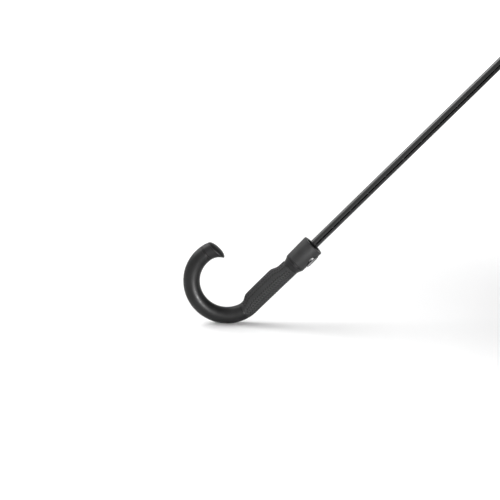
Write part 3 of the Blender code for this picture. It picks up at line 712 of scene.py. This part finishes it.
def crook_end():
    """End piece that carries the bend on to a slanting oval face, and its domed plate."""
    seam = BEND_END + SEAM_GAP
    start = bend_ring(seam + radians(0.5), CROOK_TUBE)
    end = end_ring(END_PLANE, END_MIDDLE, END_HALF, CROOK_TUBE)
    onward = Vector((-sin(seam), 0, -cos(seam)))
    rings = [bend_ring(seam, CROOK_TUBE - 0.45 * MM),
             bend_ring(seam + SEAM_ROUND, CROOK_TUBE - 0.12 * MM)]
    for t in steps_between(0, 1, 14):
        rings.append([a * (1 - t) ** 2 + (a + onward * (b - a).length * 0.5) * 2 * t * (1 - t)
                      + b * t * t for a, b in zip(start, end)])
    rings.append(end_ring(END_PLANE, END_MIDDLE, END_HALF - 0.5 * MM, CROOK_TUBE - 0.5 * MM))
    place("crook_end_moulding", skin(rings), "handle_plastic", FIXED, ["crook_end_cap"])
    rise = 5.6 * MM
    rings = []
    for angle in steps_between(radians(4), radians(86), 16):
        size = cos(angle)
        rings.append(end_ring(END_PLANE + rise * sin(angle), END_MIDDLE - (1 - size) * 2 * MM,
                              END_HALF * size, CROOK_TUBE * size))
    place("crook_end_dome", skin(rings), "handle_plastic", FIXED, ["crook_end_plate"])


DIMPLE_PITCH = 4.25 * MM
DIMPLE_HALF = 1.3 * MM
DIMPLE_DEPTH = 1.15 * MM
# Rows of dimples on one side of the grip, as angles from the side away from the hook
DIMPLE_ROWS = [7.2 + 18 * i for i in range(6)] + [127, 145, 163]


def dimples(along, t):
    """Depth of the pits in the grip at a place along it and round it."""
    low, high = -11.5 * MM, 79.8 * MM
    depth = 0.0
    for number, row in enumerate(DIMPLE_ROWS):
        for angle in (radians(row), -radians(row)):
            off = abs((t - angle + pi) % tau - pi) * 14.6 * MM
            if off > 2.5 * DIMPLE_HALF:
                continue
            stagger = DIMPLE_PITCH / 2 if number % 2 else 0
            k = round((along - high + stagger) / DIMPLE_PITCH)
            centre = high - stagger + k * DIMPLE_PITCH
            if low <= centre <= high:
                near = (off / DIMPLE_HALF) ** 4 + (abs(along - centre) / DIMPLE_HALF) ** 4
                depth = max(depth, exp(-near))
    return depth


def grip_sleeve():
    """Dimpled rubber sleeve: a long swelling for the fingers, smooth bands and a small tab."""
    foot = -BEND_RADIUS * SLEEVE_END
    # Place along the handle, then the size away from the hook, towards it and across
    outline = through([(foot, CROOK_TUBE, CROOK_TUBE, CROOK_TUBE)] + in_mm(
        (83, 13.3, 14.2, 13.1), (75, 13.2, 14.3, 13.0), (69.5, 13.15, 15.2, 13.0),
        (65, 13.1, 17.1, 13.0), (60, 13.0, 18.9, 13.0), (55, 12.95, 19.2, 13.0),
        (33, 12.8, 19.3, 13.0), (9, 12.6, 19.2, 13.0), (5.5, 12.6, 18.8, 13.0),
        (-1, 12.6, 15.8, 13.0), (-7, 12.7, 13.7, 12.9)))
    sides = 216
    edge = 0.4 * MM
    rings, shades = [], []
    for along in steps_between(SLEEVE_TOP + 0.3 * MM, foot - 0.2 * MM, 230):
        sizes = outline(along)
        rim = max(0.0, 1 - min(SLEEVE_TOP - along, along - foot) / edge)
        tab = 0.55 * MM * exp(-(abs(along - 81.4 * MM) / (1.7 * MM)) ** 6)
        swelling = min(1.0, max(0.0, (sizes[1] - 14 * MM) / (5 * MM)))

        def relief(t):
            valleys = facing(t, radians(-111), 0.16) + facing(t, radians(111), 0.16)
            tabs = facing(t, FRONT + 0.19, 0.17) + facing(t, BACK - 0.19, 0.17)
            return (tab * tabs - 0.45 * MM * swelling * valleys - DIMPLE_DEPTH * dimples(along, t)
                    - 0.12 * MM * rim * rim)
        rings.append(handle_ring(along, *sizes, sides=sides, relief=relief))
        # Painted shade: each point's depth in a dimple, which darkens the dimple's bottom.
        shades += [dimples(along, tau * i / sides) for i in range(sides)]
    rings += [handle_ring(along, CORE + GAP, sides=sides) for along in (foot, 0, SLEEVE_TOP)]
    mesh = skin(rings, loop=True, shades=shades + [0.0] * (3 * sides))
    place("grip_rubber_sleeve", smoothed(mesh, radians(60)), "grip_rubber", FIXED,
          ["grip_sleeve"])


# ---- collar and button

def collar_shell():
    profile = softened([(CAVITY, COLLAR_FOOT), (16.5 * MM, COLLAR_FOOT),
                        (16.8 * MM, COLLAR_FOOT + 0.5 * MM), (COLLAR, COLLAR_TOP - 0.6 * MM),
                        (COLLAR - 0.6 * MM, COLLAR_TOP), (MOUTH, COLLAR_TOP), (MOUTH, CAVITY_TOP),
                        (CAVITY, CAVITY_TOP)], 0.35 * MM)
    notch_line = in_mm((9.9, 118.6), (11.5, 111.7), (15.5, 104), (19.5, 97.5), (19.5, 130.4))
    notch = plate(softened(notch_line, 0.8 * MM, steps=4), -20 * MM, 20 * MM)
    arm_slot = box(*in_mm((10, -3, 101), (20, 3, 108)))
    pin_hole = across(BUTTON_PIVOT, -9.9 * MM, 9.9 * MM, PIN + GAP)
    mesh = combined(turned(profile, ROUND_STEPS), removed=[notch, arm_slot, pin_hole])
    place("collar_shell", mesh, "collar_plastic", FIXED, ["collar"])


def rectangle(left, right, low, high):
    return [(left, low), (right, low), (right, high), (left, high)]


def button_lever():
    """Curved push button on its lever, with a thumb pad, two pale blocks that paint a bright spot
    of light in the notch, and its return spring.
    """
    face_line = in_mm((16.0, 104), (19, 104.6), (19, 125), (18.2, 125.9), (14.6, 121.6),
                      (14.0, 112), (14.2, 109), (15.0, 106))
    face = plate(softened(face_line, 0.6 * MM, steps=4), -15 * MM, 15 * MM)
    trim_line = softened(rectangle(0, BUTTON_ROUND, 100 * MM, 128 * MM), 1 * MM, closed=False)
    arm_line = in_mm((11.5, 102.3), (13.2, 102.3), (15.9, 104.6), (15.9, 107.4), (13.0, 107.4),
                     (10.2, 106.2), (9.5, 104.5), (10.2, 103))
    arm = plate(softened(arm_line, 0.6 * MM), -2.6 * MM, 2.6 * MM)
    hole = across(BUTTON_PIVOT, -5 * MM, 5 * MM, PIN + GAP)
    rounded = combined(face, kept=[turned(trim_line, ROUND_STEPS)])
    place("button_lever", combined(rounded, added=[arm], removed=[hole]), "button_plastic",
          "push_button", ["push_button"])
    pad_line = softened(rectangle(BUTTON_ROUND + 0.02 * MM, BUTTON_ROUND + 0.35 * MM, 107 * MM,
                                  122.6 * MM), 0.12 * MM)
    pad = combined(turned(pad_line, ROUND_STEPS), kept=[box(*in_mm((10, -8, 100), (20, 8, 130)))])
    place("button_thumb_pad", pad, "collar_plastic", "push_button")
    # Painted light: two near-white blocks inside the notch stand in for a bright spot of light
    # there.
    light_spot_line = softened(rectangle(12.5 * MM, 14.9 * MM, 116.4 * MM, 120.4 * MM), 0.5 * MM)
    for middle, name in ((-6.1 * MM, "near"), (6.1 * MM, "far")):
        light_spot_block = plate(light_spot_line, middle - 1.2 * MM, middle + 1.2 * MM)
        place("button_light_spot_" + name, light_spot_block, "button_plastic", "push_button",
              finish="light_spot_plastic")
    path = coil(Vector((9.85 * MM, 0, 109.9 * MM)), Vector((3.45 * MM, 0, 0)), Y_AXIS, Z_AXIS,
                1.5 * MM, 5, 16)
    place("button_return_spring", tube(path, 0.3 * MM, 8), "bright_steel", FIXED,
          ["button_spring"])


# ---- shaft, runner and notch

def toward_slot(radius, height):
    return Vector((radius * cos(SLOT_ANGLE), radius * sin(SLOT_ANGLE), height))


def shaft_tube():
    top = DOME_TOP + 14 * MM
    edge = 0.3 * MM
    profile = softened([(SHAFT_INSIDE, SHAFT_FOOT), (SHAFT, SHAFT_FOOT), (SHAFT, top),
                        (SHAFT_INSIDE, top)], edge)
    slot = box((3 * MM, -SLOT_HALF, SLOT_FOOT), (9 * MM, SLOT_HALF, DRIVE_PIN_HEIGHT + PIN + GAP))
    slot = moved(slot, Matrix.Rotation(SLOT_ANGLE, 4, "Z"))
    mesh = combined(turned(profile, steps=72), removed=[slot])
    place("shaft_lacquered_tube", mesh, "shaft_coat", FIXED, ["shaft_tube"])


def wire_groove(height, top):
    """Profile of the groove that the tie wire lies in, from the outside in."""
    floor = height - WIRE - GAP
    outer = RIB_PIVOT.x + WIRE + GAP
    inner = RIB_PIVOT.x - WIRE - GAP
    return [(outer, top), (outer, floor), (inner, floor), (inner, top)]


def slot_cutters(height):
    """One cutter for each rib's slot, open to the outside, top and bottom."""
    half = 1.5 * MM
    blade = box((HUB + 0.2 * MM, -half, height - 8 * MM), (20 * MM, half, height + 8 * MM))
    return joined([moved(blade, Matrix.Rotation(HALF_PITCH + RIB_PITCH * i, 4, "Z"))
                   for i in range(RIBS)])


def tie_wire(name, height, body, node):
    """Wire ring through the eyes."""
    ring = level_circle(RIB_PIVOT.x, height, 72)
    place(name, tube(ring, WIRE, 10, loop=True), "bright_steel", body, [node])


def top_notch():
    bore = SHAFT + GAP
    low = RIB_PIVOT.z - 6 * MM
    top = RIB_PIVOT.z + 3.2 * MM
    profile = softened([(bore, low - 9 * MM), (HUB - MM, low - 9 * MM), (HUB - MM, low),
                        (CROWN_RADIUS, low), (CROWN_RADIUS, top)]
                       + wire_groove(RIB_PIVOT.z, top) + [(bore, top)], 0.5 * MM)
    mesh = combined(turned(profile, steps=80), removed=[slot_cutters(RIB_PIVOT.z)])
    place("top_notch_moulding", mesh, "frame_plastic", FIXED, ["top_notch"])
    tie_wire("notch_tie_wire", RIB_PIVOT.z, FIXED, "notch_wire")


def runner():
    bore = SHAFT + GAP
    low = RUNNER_OPEN - 6 * MM
    top = RUNNER_OPEN + 3.2 * MM
    latch = LATCH_HEIGHT + RUNNER_TRAVEL
    groove = LATCH_THICK / 2 + 0.5 * MM
    grip_rings = []
    for i in range(5):
        height = low - 19 * MM + 3 * MM * i
        grip_rings += [(NOSE, height), (NOSE - 0.5 * MM, height + 0.5 * MM),
                       (NOSE - 0.5 * MM, height + 1.3 * MM), (NOSE, height + 1.8 * MM)]
    profile = softened([(bore, latch - 5 * MM), (8.7 * MM, latch - 5 * MM),
                        (NOSE, latch - 3.4 * MM), (NOSE, latch - groove),
                        (NOSE_GROOVE, latch - groove),
                        (NOSE_GROOVE, latch + groove), (NOSE, latch + groove)] + grip_rings
                       + [(NOSE, low), (CROWN_RADIUS, low), (CROWN_RADIUS, top)]
                       + wire_groove(RUNNER_OPEN, top) + [(bore, top)], 0.4 * MM)
    hole = rod(toward_slot(6 * MM, DRIVE_PIN_HEIGHT), toward_slot(12 * MM, DRIVE_PIN_HEIGHT),
               PIN + GAP)
    mesh = combined(turned(profile, steps=80), removed=[slot_cutters(RUNNER_OPEN), hole])
    place("runner_moulding", mesh, "frame_plastic", "runner", ["runner"])
    tie_wire("runner_tie_wire", RUNNER_OPEN, "runner", "runner_wire")


def crown_cap():
    """Washer over the middle of the canopy, and the ferrule that clamps it."""
    rise = DOME_TOP + UPPER_LIFT + 0.5 * MM
    bore = SHAFT + GAP
    rim = 25.4 * MM
    dome = through([(bore, 3.4 * MM), (rim, 0.5 * MM)] + in_mm((11, 3.25), (18, 2.5), (23, 1.4)))
    profile = [(radius, rise + dome(radius)[0]) for radius in steps_between(bore, rim, 16)]
    profile += [(25.2 * MM, rise - 0.2 * MM), (24.6 * MM, rise - 0.3 * MM), (bore, rise)]
    place("crown_washer", turned(profile, steps=72), "frame_plastic", FIXED, ["canopy_washer"])
    foot = rise + 3.8 * MM
    shape = through(in_mm((0, 9.6), (1.2, 10.15), (3, 10.2), (9, 8.6), (17, 6.4), (40, 5.2),
                          (57, 4.7), (59.5, 4.5), (61, 3.8)))
    length, ring_height, ring_spacing = 61 * MM, 5 * MM, 3.2 * MM
    profile = [(0, foot + 14 * MM), (bore, foot + 14 * MM), (bore, foot)]
    for height in steps_between(0, length, 90):
        groove = sum(bell(height - ring_height - ring_spacing * i, 0.4 * MM) for i in range(3))
        profile.append((shape(height)[0] - 0.35 * MM * groove, foot + height))
    profile.append((0, foot + length))
    place("ferrule_tip", turned(profile, steps=56), "frame_plastic", FIXED, ["ferrule"])


# ---- ribs and stretchers

def rib_rod(first, last, radii, rows):
    """Rod along the rib's arc; radii is a function of the share of the way along."""
    shares = steps_between(0, 1, rows)
    path = [on_arc(RIB_ARC, first + (last - first) * share) for share in shares]
    return tube(path, [radii(share) for share in shares], sides=14)


def rivet(centre, y_low, y_high):
    """Tubular rivet with a low domed head at each end."""
    head = 1.35 * MM
    rise = 0.45 * MM
    path = [y_low - rise, y_low - rise * 0.8, y_low - rise * 0.3, y_low, y_low, y_high, y_high,
            y_high + rise * 0.3, y_high + rise * 0.8, y_high + rise]
    radii = [head * 0.35, head * 0.75, head * 0.97, head, RIVET]
    radii += radii[::-1]
    return skin([circle(centre + Y_AXIS * y, X_AXIS, Z_AXIS, radius, 18)
                 for y, radius in zip(path, radii)])


def rib_inner_mesh():
    """From the notch to the stretcher's joint: eye, rod and bracket."""
    eye_end = on_arc(RIB_ARC, PIVOT_ANGLE + TAB_LENGTH / RIB_ARC)
    eye = plate(capsule(flat(RIB_PIVOT), flat(eye_end), LAP_HALF), -TAB_FLAT, TAB_FLAT, TAB_EDGE)
    eye_round = across(RIB_PIVOT, -TAB_HALF, TAB_HALF, EYE, 28)
    start = PIVOT_ANGLE + (TAB_LENGTH - 2 * MM) / RIB_ARC
    end = SPLIT_ANGLE - ROD_START / RIB_ARC
    rod_mesh = rib_rod(start, end, lambda share: RIB, 40)
    back = on_arc(RIB_ARC, SPLIT_ANGLE - LAP_LENGTH / RIB_ARC)
    lap = plate(capsule(flat(back), flat(RIB_JOINT), LAP_HALF), -1.65 * MM, -0.3 * MM)
    lug = plate(capsule(flat(RIB_JOINT), flat(STRETCHER_PIVOT), 2.3 * MM), -LAP_FAR, -LAP_NEAR)
    hole = across(RIB_PIVOT, -4 * MM, 4 * MM, WIRE_HOLE)
    return combined(rod_mesh, added=[eye, eye_round, lap, lug], removed=[hole])


def rivets_mesh():
    return joined([rivet(centre, -LAP_FAR, LAP_FAR) for centre in (RIB_JOINT, STRETCHER_PIVOT)])


def rib_outer_mesh():
    """From the stretcher's joint to the tip's cap."""
    start = SPLIT_ANGLE + ROD_START / RIB_ARC
    rod_mesh = rib_rod(start, CAP_ANGLE + 2 * MM / RIB_ARC, lambda share: RIB, 40)
    ahead = on_arc(RIB_ARC, SPLIT_ANGLE + LAP_LENGTH / RIB_ARC)
    lap = plate(capsule(flat(RIB_JOINT), flat(ahead), LAP_HALF), LAP_NEAR, LAP_FAR)
    hole = across(RIB_JOINT, -4 * MM, 4 * MM, RIVET + GAP)
    return combined(rod_mesh, added=[lap], removed=[hole])


def tip_cap_mesh():
    """Rounded plastic tip with a waist for the thread that holds the canopy's corner."""
    length = 1.26
    shape = through([(0, 2.5), (0.08, 2.9), (0.3, 2.75), (0.42, 2.5), (0.55, 2.9), (0.8, 3.2),
                     (1.0, 3.1), (1.15, 2.5), (1.23, 1.6), (length, 0.6)])
    end = CAP_ANGLE + (TIP_ANGLE - CAP_ANGLE) * length
    return rib_rod(CAP_ANGLE, end, lambda share: shape(share * length)[0] * MM, 44)


def stretcher_mesh():
    """Straight rod from the rib's bracket down to the runner."""
    foot = Vector((RIB_PIVOT.x, 0, RUNNER_OPEN))
    along = (foot - STRETCHER_PIVOT).normalized()
    foot_tab = plate(capsule(flat(foot - along * TAB_LENGTH), flat(foot), LAP_HALF),
                     -TAB_FLAT, TAB_FLAT, TAB_EDGE)
    foot_round = across(foot, -TAB_HALF, TAB_HALF, EYE, 28)
    head = STRETCHER_PIVOT + along * 8 * MM
    head_tab = plate(capsule(flat(STRETCHER_PIVOT), flat(head), LAP_HALF), LAP_NEAR, LAP_FAR)
    rod_mesh = rod(STRETCHER_PIVOT + along * 4 * MM, foot - along * (TAB_LENGTH - 2 * MM),
                   STRETCHER)
    holes = [across(foot, -4 * MM, 4 * MM, WIRE_HOLE),
             across(STRETCHER_PIVOT, -4 * MM, 4 * MM, RIVET + GAP)]
    return combined(rod_mesh, added=[foot_tab, foot_round, head_tab], removed=holes)


def thread_ties(angles):
    """Loops of thread that hold the fabric to a rib."""
    loops = []
    for angle in angles:
        for shift in (-0.35 * MM, 0.35 * MM):
            middle = on_arc(RIB_ARC + RIB_DROP / 2 - 0.6 * MM, angle + shift / RIB_ARC)
            out = outward(angle)
            steps = 24
            path = [middle + out * (3.6 * MM * cos(tau * i / steps))
                    + Vector((0, 2.35 * MM * sin(tau * i / steps), 0))
                    for i in range(steps)]
            loops.append(tube(path, 0.3 * MM, 6, loop=True))
    return joined(loops)


# ---- canopy

def crease(along, seed):
    """Uneven wave along a seam, from -1 to 1."""
    draw = random.Random(seed)
    total = 0.0
    for wavelength in (0.023, 0.037, 0.061):
        total += sin(tau * along / wavelength + draw.uniform(0, tau)) / 3
    return total


def gore_mesh(arc, first, last, hem_sag, rows, seed, under=0.0, flare=0.0):
    """Tensioned fabric between two ribs, with felled seams, a turned hem and slight puckers.

    Between its ribs the fabric dips: by the under distance more at its upper edge, and by the
    flare distance less at its hem.
    """
    length = (last - first) * arc
    hem_steps = [length, length - 0.6 * MM, length - HEM_WIDTH + 0.4 * MM, length - HEM_WIDTH]
    reaches = steps_between(0, length - HEM_WIDTH - 4 * MM, rows) + hem_steps[::-1]
    inner = [0, 0.5 * MM, SEAM_HALF - 0.4 * MM, SEAM_HALF, 7 * MM, 11 * MM, 16 * MM, 23 * MM]
    middle = 26
    points, seams, hems, cloths = [], [], [], []
    for reach in reaches:
        angle_at_seam = first + reach / arc
        half_at_seam = arc * sin(angle_at_seam) * sin(HALF_PITCH)
        squeeze = min(1.0, half_at_seam / (46 * MM))
        offsets = [distance * squeeze for distance in inner]
        ys = [-half_at_seam + offset for offset in offsets]
        ys += steps_between(ys[-1], -ys[-1], middle)[1:-1]
        ys += [-y for y in ys[:len(inner)][::-1]]
        for y in ys:
            side = y / half_at_seam
            share = reach / length
            from_hem = length - reach
            angle = angle_at_seam - (1 - side * side) * hem_sag / arc * share
            point = on_arc(arc, angle)
            out = outward(angle)
            from_seam = half_at_seam - abs(y)
            width = point.x * sin(HALF_PITCH)
            point = Vector((point.x * cos(HALF_PITCH), side * width, point.z))
            slack = 1 - side * side
            dip = FABRIC_DIP * slack * sin(pi * (angle_at_seam - EYE_ANGLE)
                                                / (CORNER_ANGLE - EYE_ANGLE))
            dip += under * slack * exp(-reach / (60 * MM))
            dip -= flare * slack * exp(-from_hem / (30 * MM))
            pucker = 0.7 * MM * crease(reach, seed) * squeeze
            pucker *= (1 - exp(-from_seam / (2 * MM))) * exp(-from_seam / (15 * MM))
            ripple = 0.8 * MM * crease(y, seed + 1) * exp(-from_hem / (22 * MM))
            ripple *= 1 - side ** 8
            seam = 0.45 * MM if from_seam < (SEAM_HALF - 0.2 * MM) * squeeze else 0.0
            hem = 0.35 * MM if from_hem < HEM_WIDTH - 0.2 * MM else 0.0
            points.append(point + out * (max(seam, hem) + pucker + ripple - dip))
            seams.append((from_seam / max(squeeze, 0.01), reach))
            hems.append((from_hem, y))
            cloths.append((y, reach))
    count = len(inner) * 2 + middle - 1
    faces = []
    for row in range(len(reaches) - 1):
        for i in range(count - 1):
            low = row * count + i
            faces.append((low, low + count, low + count + 1, low + 1))
    mesh = bpy.data.meshes.new("gore")
    mesh.from_pydata(points, [], faces)
    for name, values in (("cloth", cloths), ("seam", seams), ("hem", hems)):
        layer = mesh.uv_layers.new(name=name)
        for loop in mesh.loops:
            layer.data[loop.index].uv = values[loop.vertex_index]
    return smoothed(mesh, radians(50))


def strip_area(arc, first, last):
    """Flat area of a gore's cut: the sum of its straight widths up its length."""
    steps = 200
    angles = steps_between(first, last, steps)
    widths = [2 * arc * sin(angle) * sin(HALF_PITCH) for angle in angles]
    return sum(widths) / len(widths) * (last - first) * arc


def gore(layer, number, mesh, flat_size, area, rib, keep):
    """One gore: stretched cloth placed on its own body and given its thickness."""
    turn = RIB_PITCH * (number - 1)
    body = "canopy_%s_%d" % (layer, number)
    piece = place("%s_gore_%d" % (layer, number), mesh, "canopy_fabric", body, [body], turn)
    solid = piece.modifiers.new("thickness", "SOLIDIFY")
    solid.thickness = FABRIC * 0.8
    solid.offset = -1
    solid.use_even_offset = False
    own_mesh(piece)


def canopy():
    upper = gore_mesh(UPPER_ARC, EYE_ANGLE, UPPER_EDGE_ANGLE, 0, 70, 5, flare=4 * MM)
    lower = gore_mesh(CANOPY_ARC, LOWER_EDGE_ANGLE, CORNER_ANGLE, HEM_SAG, 84, 9, under=4 * MM)
    sizes = []
    for arc, first, last in ((UPPER_ARC, EYE_ANGLE, UPPER_EDGE_ANGLE),
                             (CANOPY_ARC, LOWER_EDGE_ANGLE, CORNER_ANGLE)):
        width = 2 * arc * sin(last) * sin(HALF_PITCH)
        sizes.append(((width, (last - first) * arc), strip_area(arc, first, last)))
    for number in range(1, RIBS + 1):
        gore("upper", number, upper, *sizes[0], "rib_inner", UPPER_KEEP)
        gore("lower", number, lower, *sizes[1], "rib_outer", LOWER_KEEP)


def folding_frame():
    """Eight ribs and stretchers; in each set, a piece marked True stands for its body's node."""
    span = SPLIT_ANGLE - PIVOT_ANGLE
    outer_span = TIP_ANGLE - SPLIT_ANGLE
    inner_ties = thread_ties([PIVOT_ANGLE + span * 0.35, PIVOT_ANGLE + span * 0.7])
    outer_ties = thread_ties([SPLIT_ANGLE + outer_span * 0.3, SPLIT_ANGLE + outer_span * 0.62])
    pieces = [("inner_rib", rib_inner_mesh(), "rib_fibre", "rib_inner", True),
              ("rib_rivets", rivets_mesh(), "bright_steel", "rib_inner", False),
              ("inner_ties", inner_ties, "canopy_fabric", "rib_inner", False),
              ("outer_rib", rib_outer_mesh(), "rib_fibre", "rib_outer", True),
              ("rib_tip", tip_cap_mesh(), "frame_plastic", "rib_outer", False),
              ("outer_ties", outer_ties, "canopy_fabric", "rib_outer", False),
              ("stretcher_rod", stretcher_mesh(), "rib_fibre", "stretcher", True)]
    for i in range(RIBS):
        for name, mesh, slot, part, stands_for_node in pieces:
            body = "%s_%d" % (part, i + 1)
            place("%s_%d" % (name, i + 1), mesh, slot, body, [body] if stands_for_node else (),
                  HALF_PITCH + RIB_PITCH * i)


def drive_spring():
    """Opening spring inside the shaft, built at its length with the umbrella open; the runner
    presses it together as it comes down.
    """
    wire = 0.5 * MM
    foot = SPRING_FOOT + wire
    length = DRIVE_PIN_HEIGHT - SLIDER_BELOW - GAP - foot - wire
    path = coil(Vector((0, 0, foot)), Vector((0, 0, length)), X_AXIS, Y_AXIS, 4.3 * MM, 18, 24)
    spring = place("opening_drive_spring", tube(path, wire, 8), "bright_steel", FIXED,
                   ["opening_spring"], finish="dark_steel")
    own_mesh(spring)


def inner_works():
    """CAD pieces that are right as they are get their finish."""
    for node, finish in (("button_pin", "bright_steel"), ("shaft_pin", "bright_steel"),
                         ("spring_plug", "dark_steel"), ("drive_slider", "dark_steel"),
                         ("latch_plate", "bright_steel")):
        piece = frame["nodes"][node]
        if not piece.material_slots:
            piece.data.materials.append(FINISHES[finish])
        for slot in piece.material_slots:
            slot.material = FINISHES[finish]


# ---- stage, light and camera

BEND_CENTRE = UMBRELLA @ Vector((-BEND_RADIUS, 0, 0))
FLOOR_REACH = 40.0
SKY_STRENGTH = 0.9
SUN_STRENGTH = 2.25
SUN_SPREAD = radians(44)
SUN_TURN = (0, radians(-42), radians(-22))
LENS = 103.6
VIEW_AZIMUTH = radians(2)
VIEW_ELEVATION = radians(12.94)
VIEW_DISTANCE = 2.2
VIEW = Vector((-sin(VIEW_AZIMUTH) * cos(VIEW_ELEVATION),
               cos(VIEW_AZIMUTH) * cos(VIEW_ELEVATION), -sin(VIEW_ELEVATION)))
VIEW_RIGHT = Vector((cos(VIEW_AZIMUTH), sin(VIEW_AZIMUTH), 0))
VIEW_UP = VIEW_RIGHT.cross(VIEW)


def stage():
    """Wide pale floor."""
    floor_mesh = bpy.data.meshes.new("floor")
    corners = rectangle(-FLOOR_REACH, FLOOR_REACH, -FLOOR_REACH, FLOOR_REACH)
    floor_mesh.from_pydata([(x, y, 0) for x, y in corners], [], [(0, 1, 2, 3)])
    floor = new_object("floor", floor_mesh)
    finish, tree, shader = shader_material("floor_paint", (0.94, 0.94, 0.94), 0.9)
    paint = noise(tree, coordinates(tree), 3, 2)
    tree.links.new(blended(tree, paint, (0.93, 0.93, 0.93), (0.95, 0.95, 0.95)),
                   shader.inputs["Base Color"])
    shader.inputs["Specular IOR Level"].default_value = 0.1
    floor_mesh.materials.append(finish)


def softbox(name, aside, above, towards_camera, size, spread, power):
    """Area light aimed at the crook, placed by its direction from it as the camera sees it."""
    data = bpy.data.lights.new(name, "AREA")
    data.shape = "RECTANGLE"
    data.size, data.size_y = size
    data.spread = spread
    data.energy = power
    light = new_object(name, data)
    offset = VIEW_RIGHT * aside + VIEW_UP * above - VIEW * towards_camera
    light.location = BEND_CENTRE + offset
    light.rotation_euler = (-offset).to_track_quat("-Z", "Y").to_euler()


def overhead_light():
    """Broad soft light from above, on the side away from the canopy."""
    data = bpy.data.lights.new("overhead_light", "SUN")
    data.angle = SUN_SPREAD
    data.energy = SUN_STRENGTH
    new_object("overhead_light", data).rotation_euler = SUN_TURN


def studio():
    world = bpy.data.worlds.new("studio")
    world.use_nodes = True
    sky = world.node_tree.nodes["Background"]
    sky.inputs["Color"].default_value = (1, 1, 1, 1)
    sky.inputs["Strength"].default_value = SKY_STRENGTH
    bpy.context.scene.world = world
    softbox("front_softbox", aside=0.95, above=-0.34, towards_camera=1.8, size=(0.6, 0.18),
            spread=radians(34), power=3.2)
    overhead_light()
    bpy.context.scene.view_settings.view_transform = "Standard"


def camera():
    """Long lens a little to the right of square on, looking slightly down."""
    aside, above = 35.8 * MM, 47.7 * MM
    data = bpy.data.cameras.new("camera")
    data.sensor_width = 36
    data.lens = LENS
    seen_from = new_object("camera", data)
    seen_from.location = (BEND_CENTRE - VIEW * VIEW_DISTANCE + VIEW_RIGHT * aside
                          + VIEW_UP * above)
    seen_from.rotation_euler = VIEW.to_track_quat("-Z", "Y").to_euler()
    bpy.context.scene.camera = seen_from


camera()
stage()
studio()
crook_moulding()
crook_end()
grip_sleeve()
collar_shell()
button_lever()
shaft_tube()
top_notch()
runner()
crown_cap()
folding_frame()
canopy()
drive_spring()
inner_works()
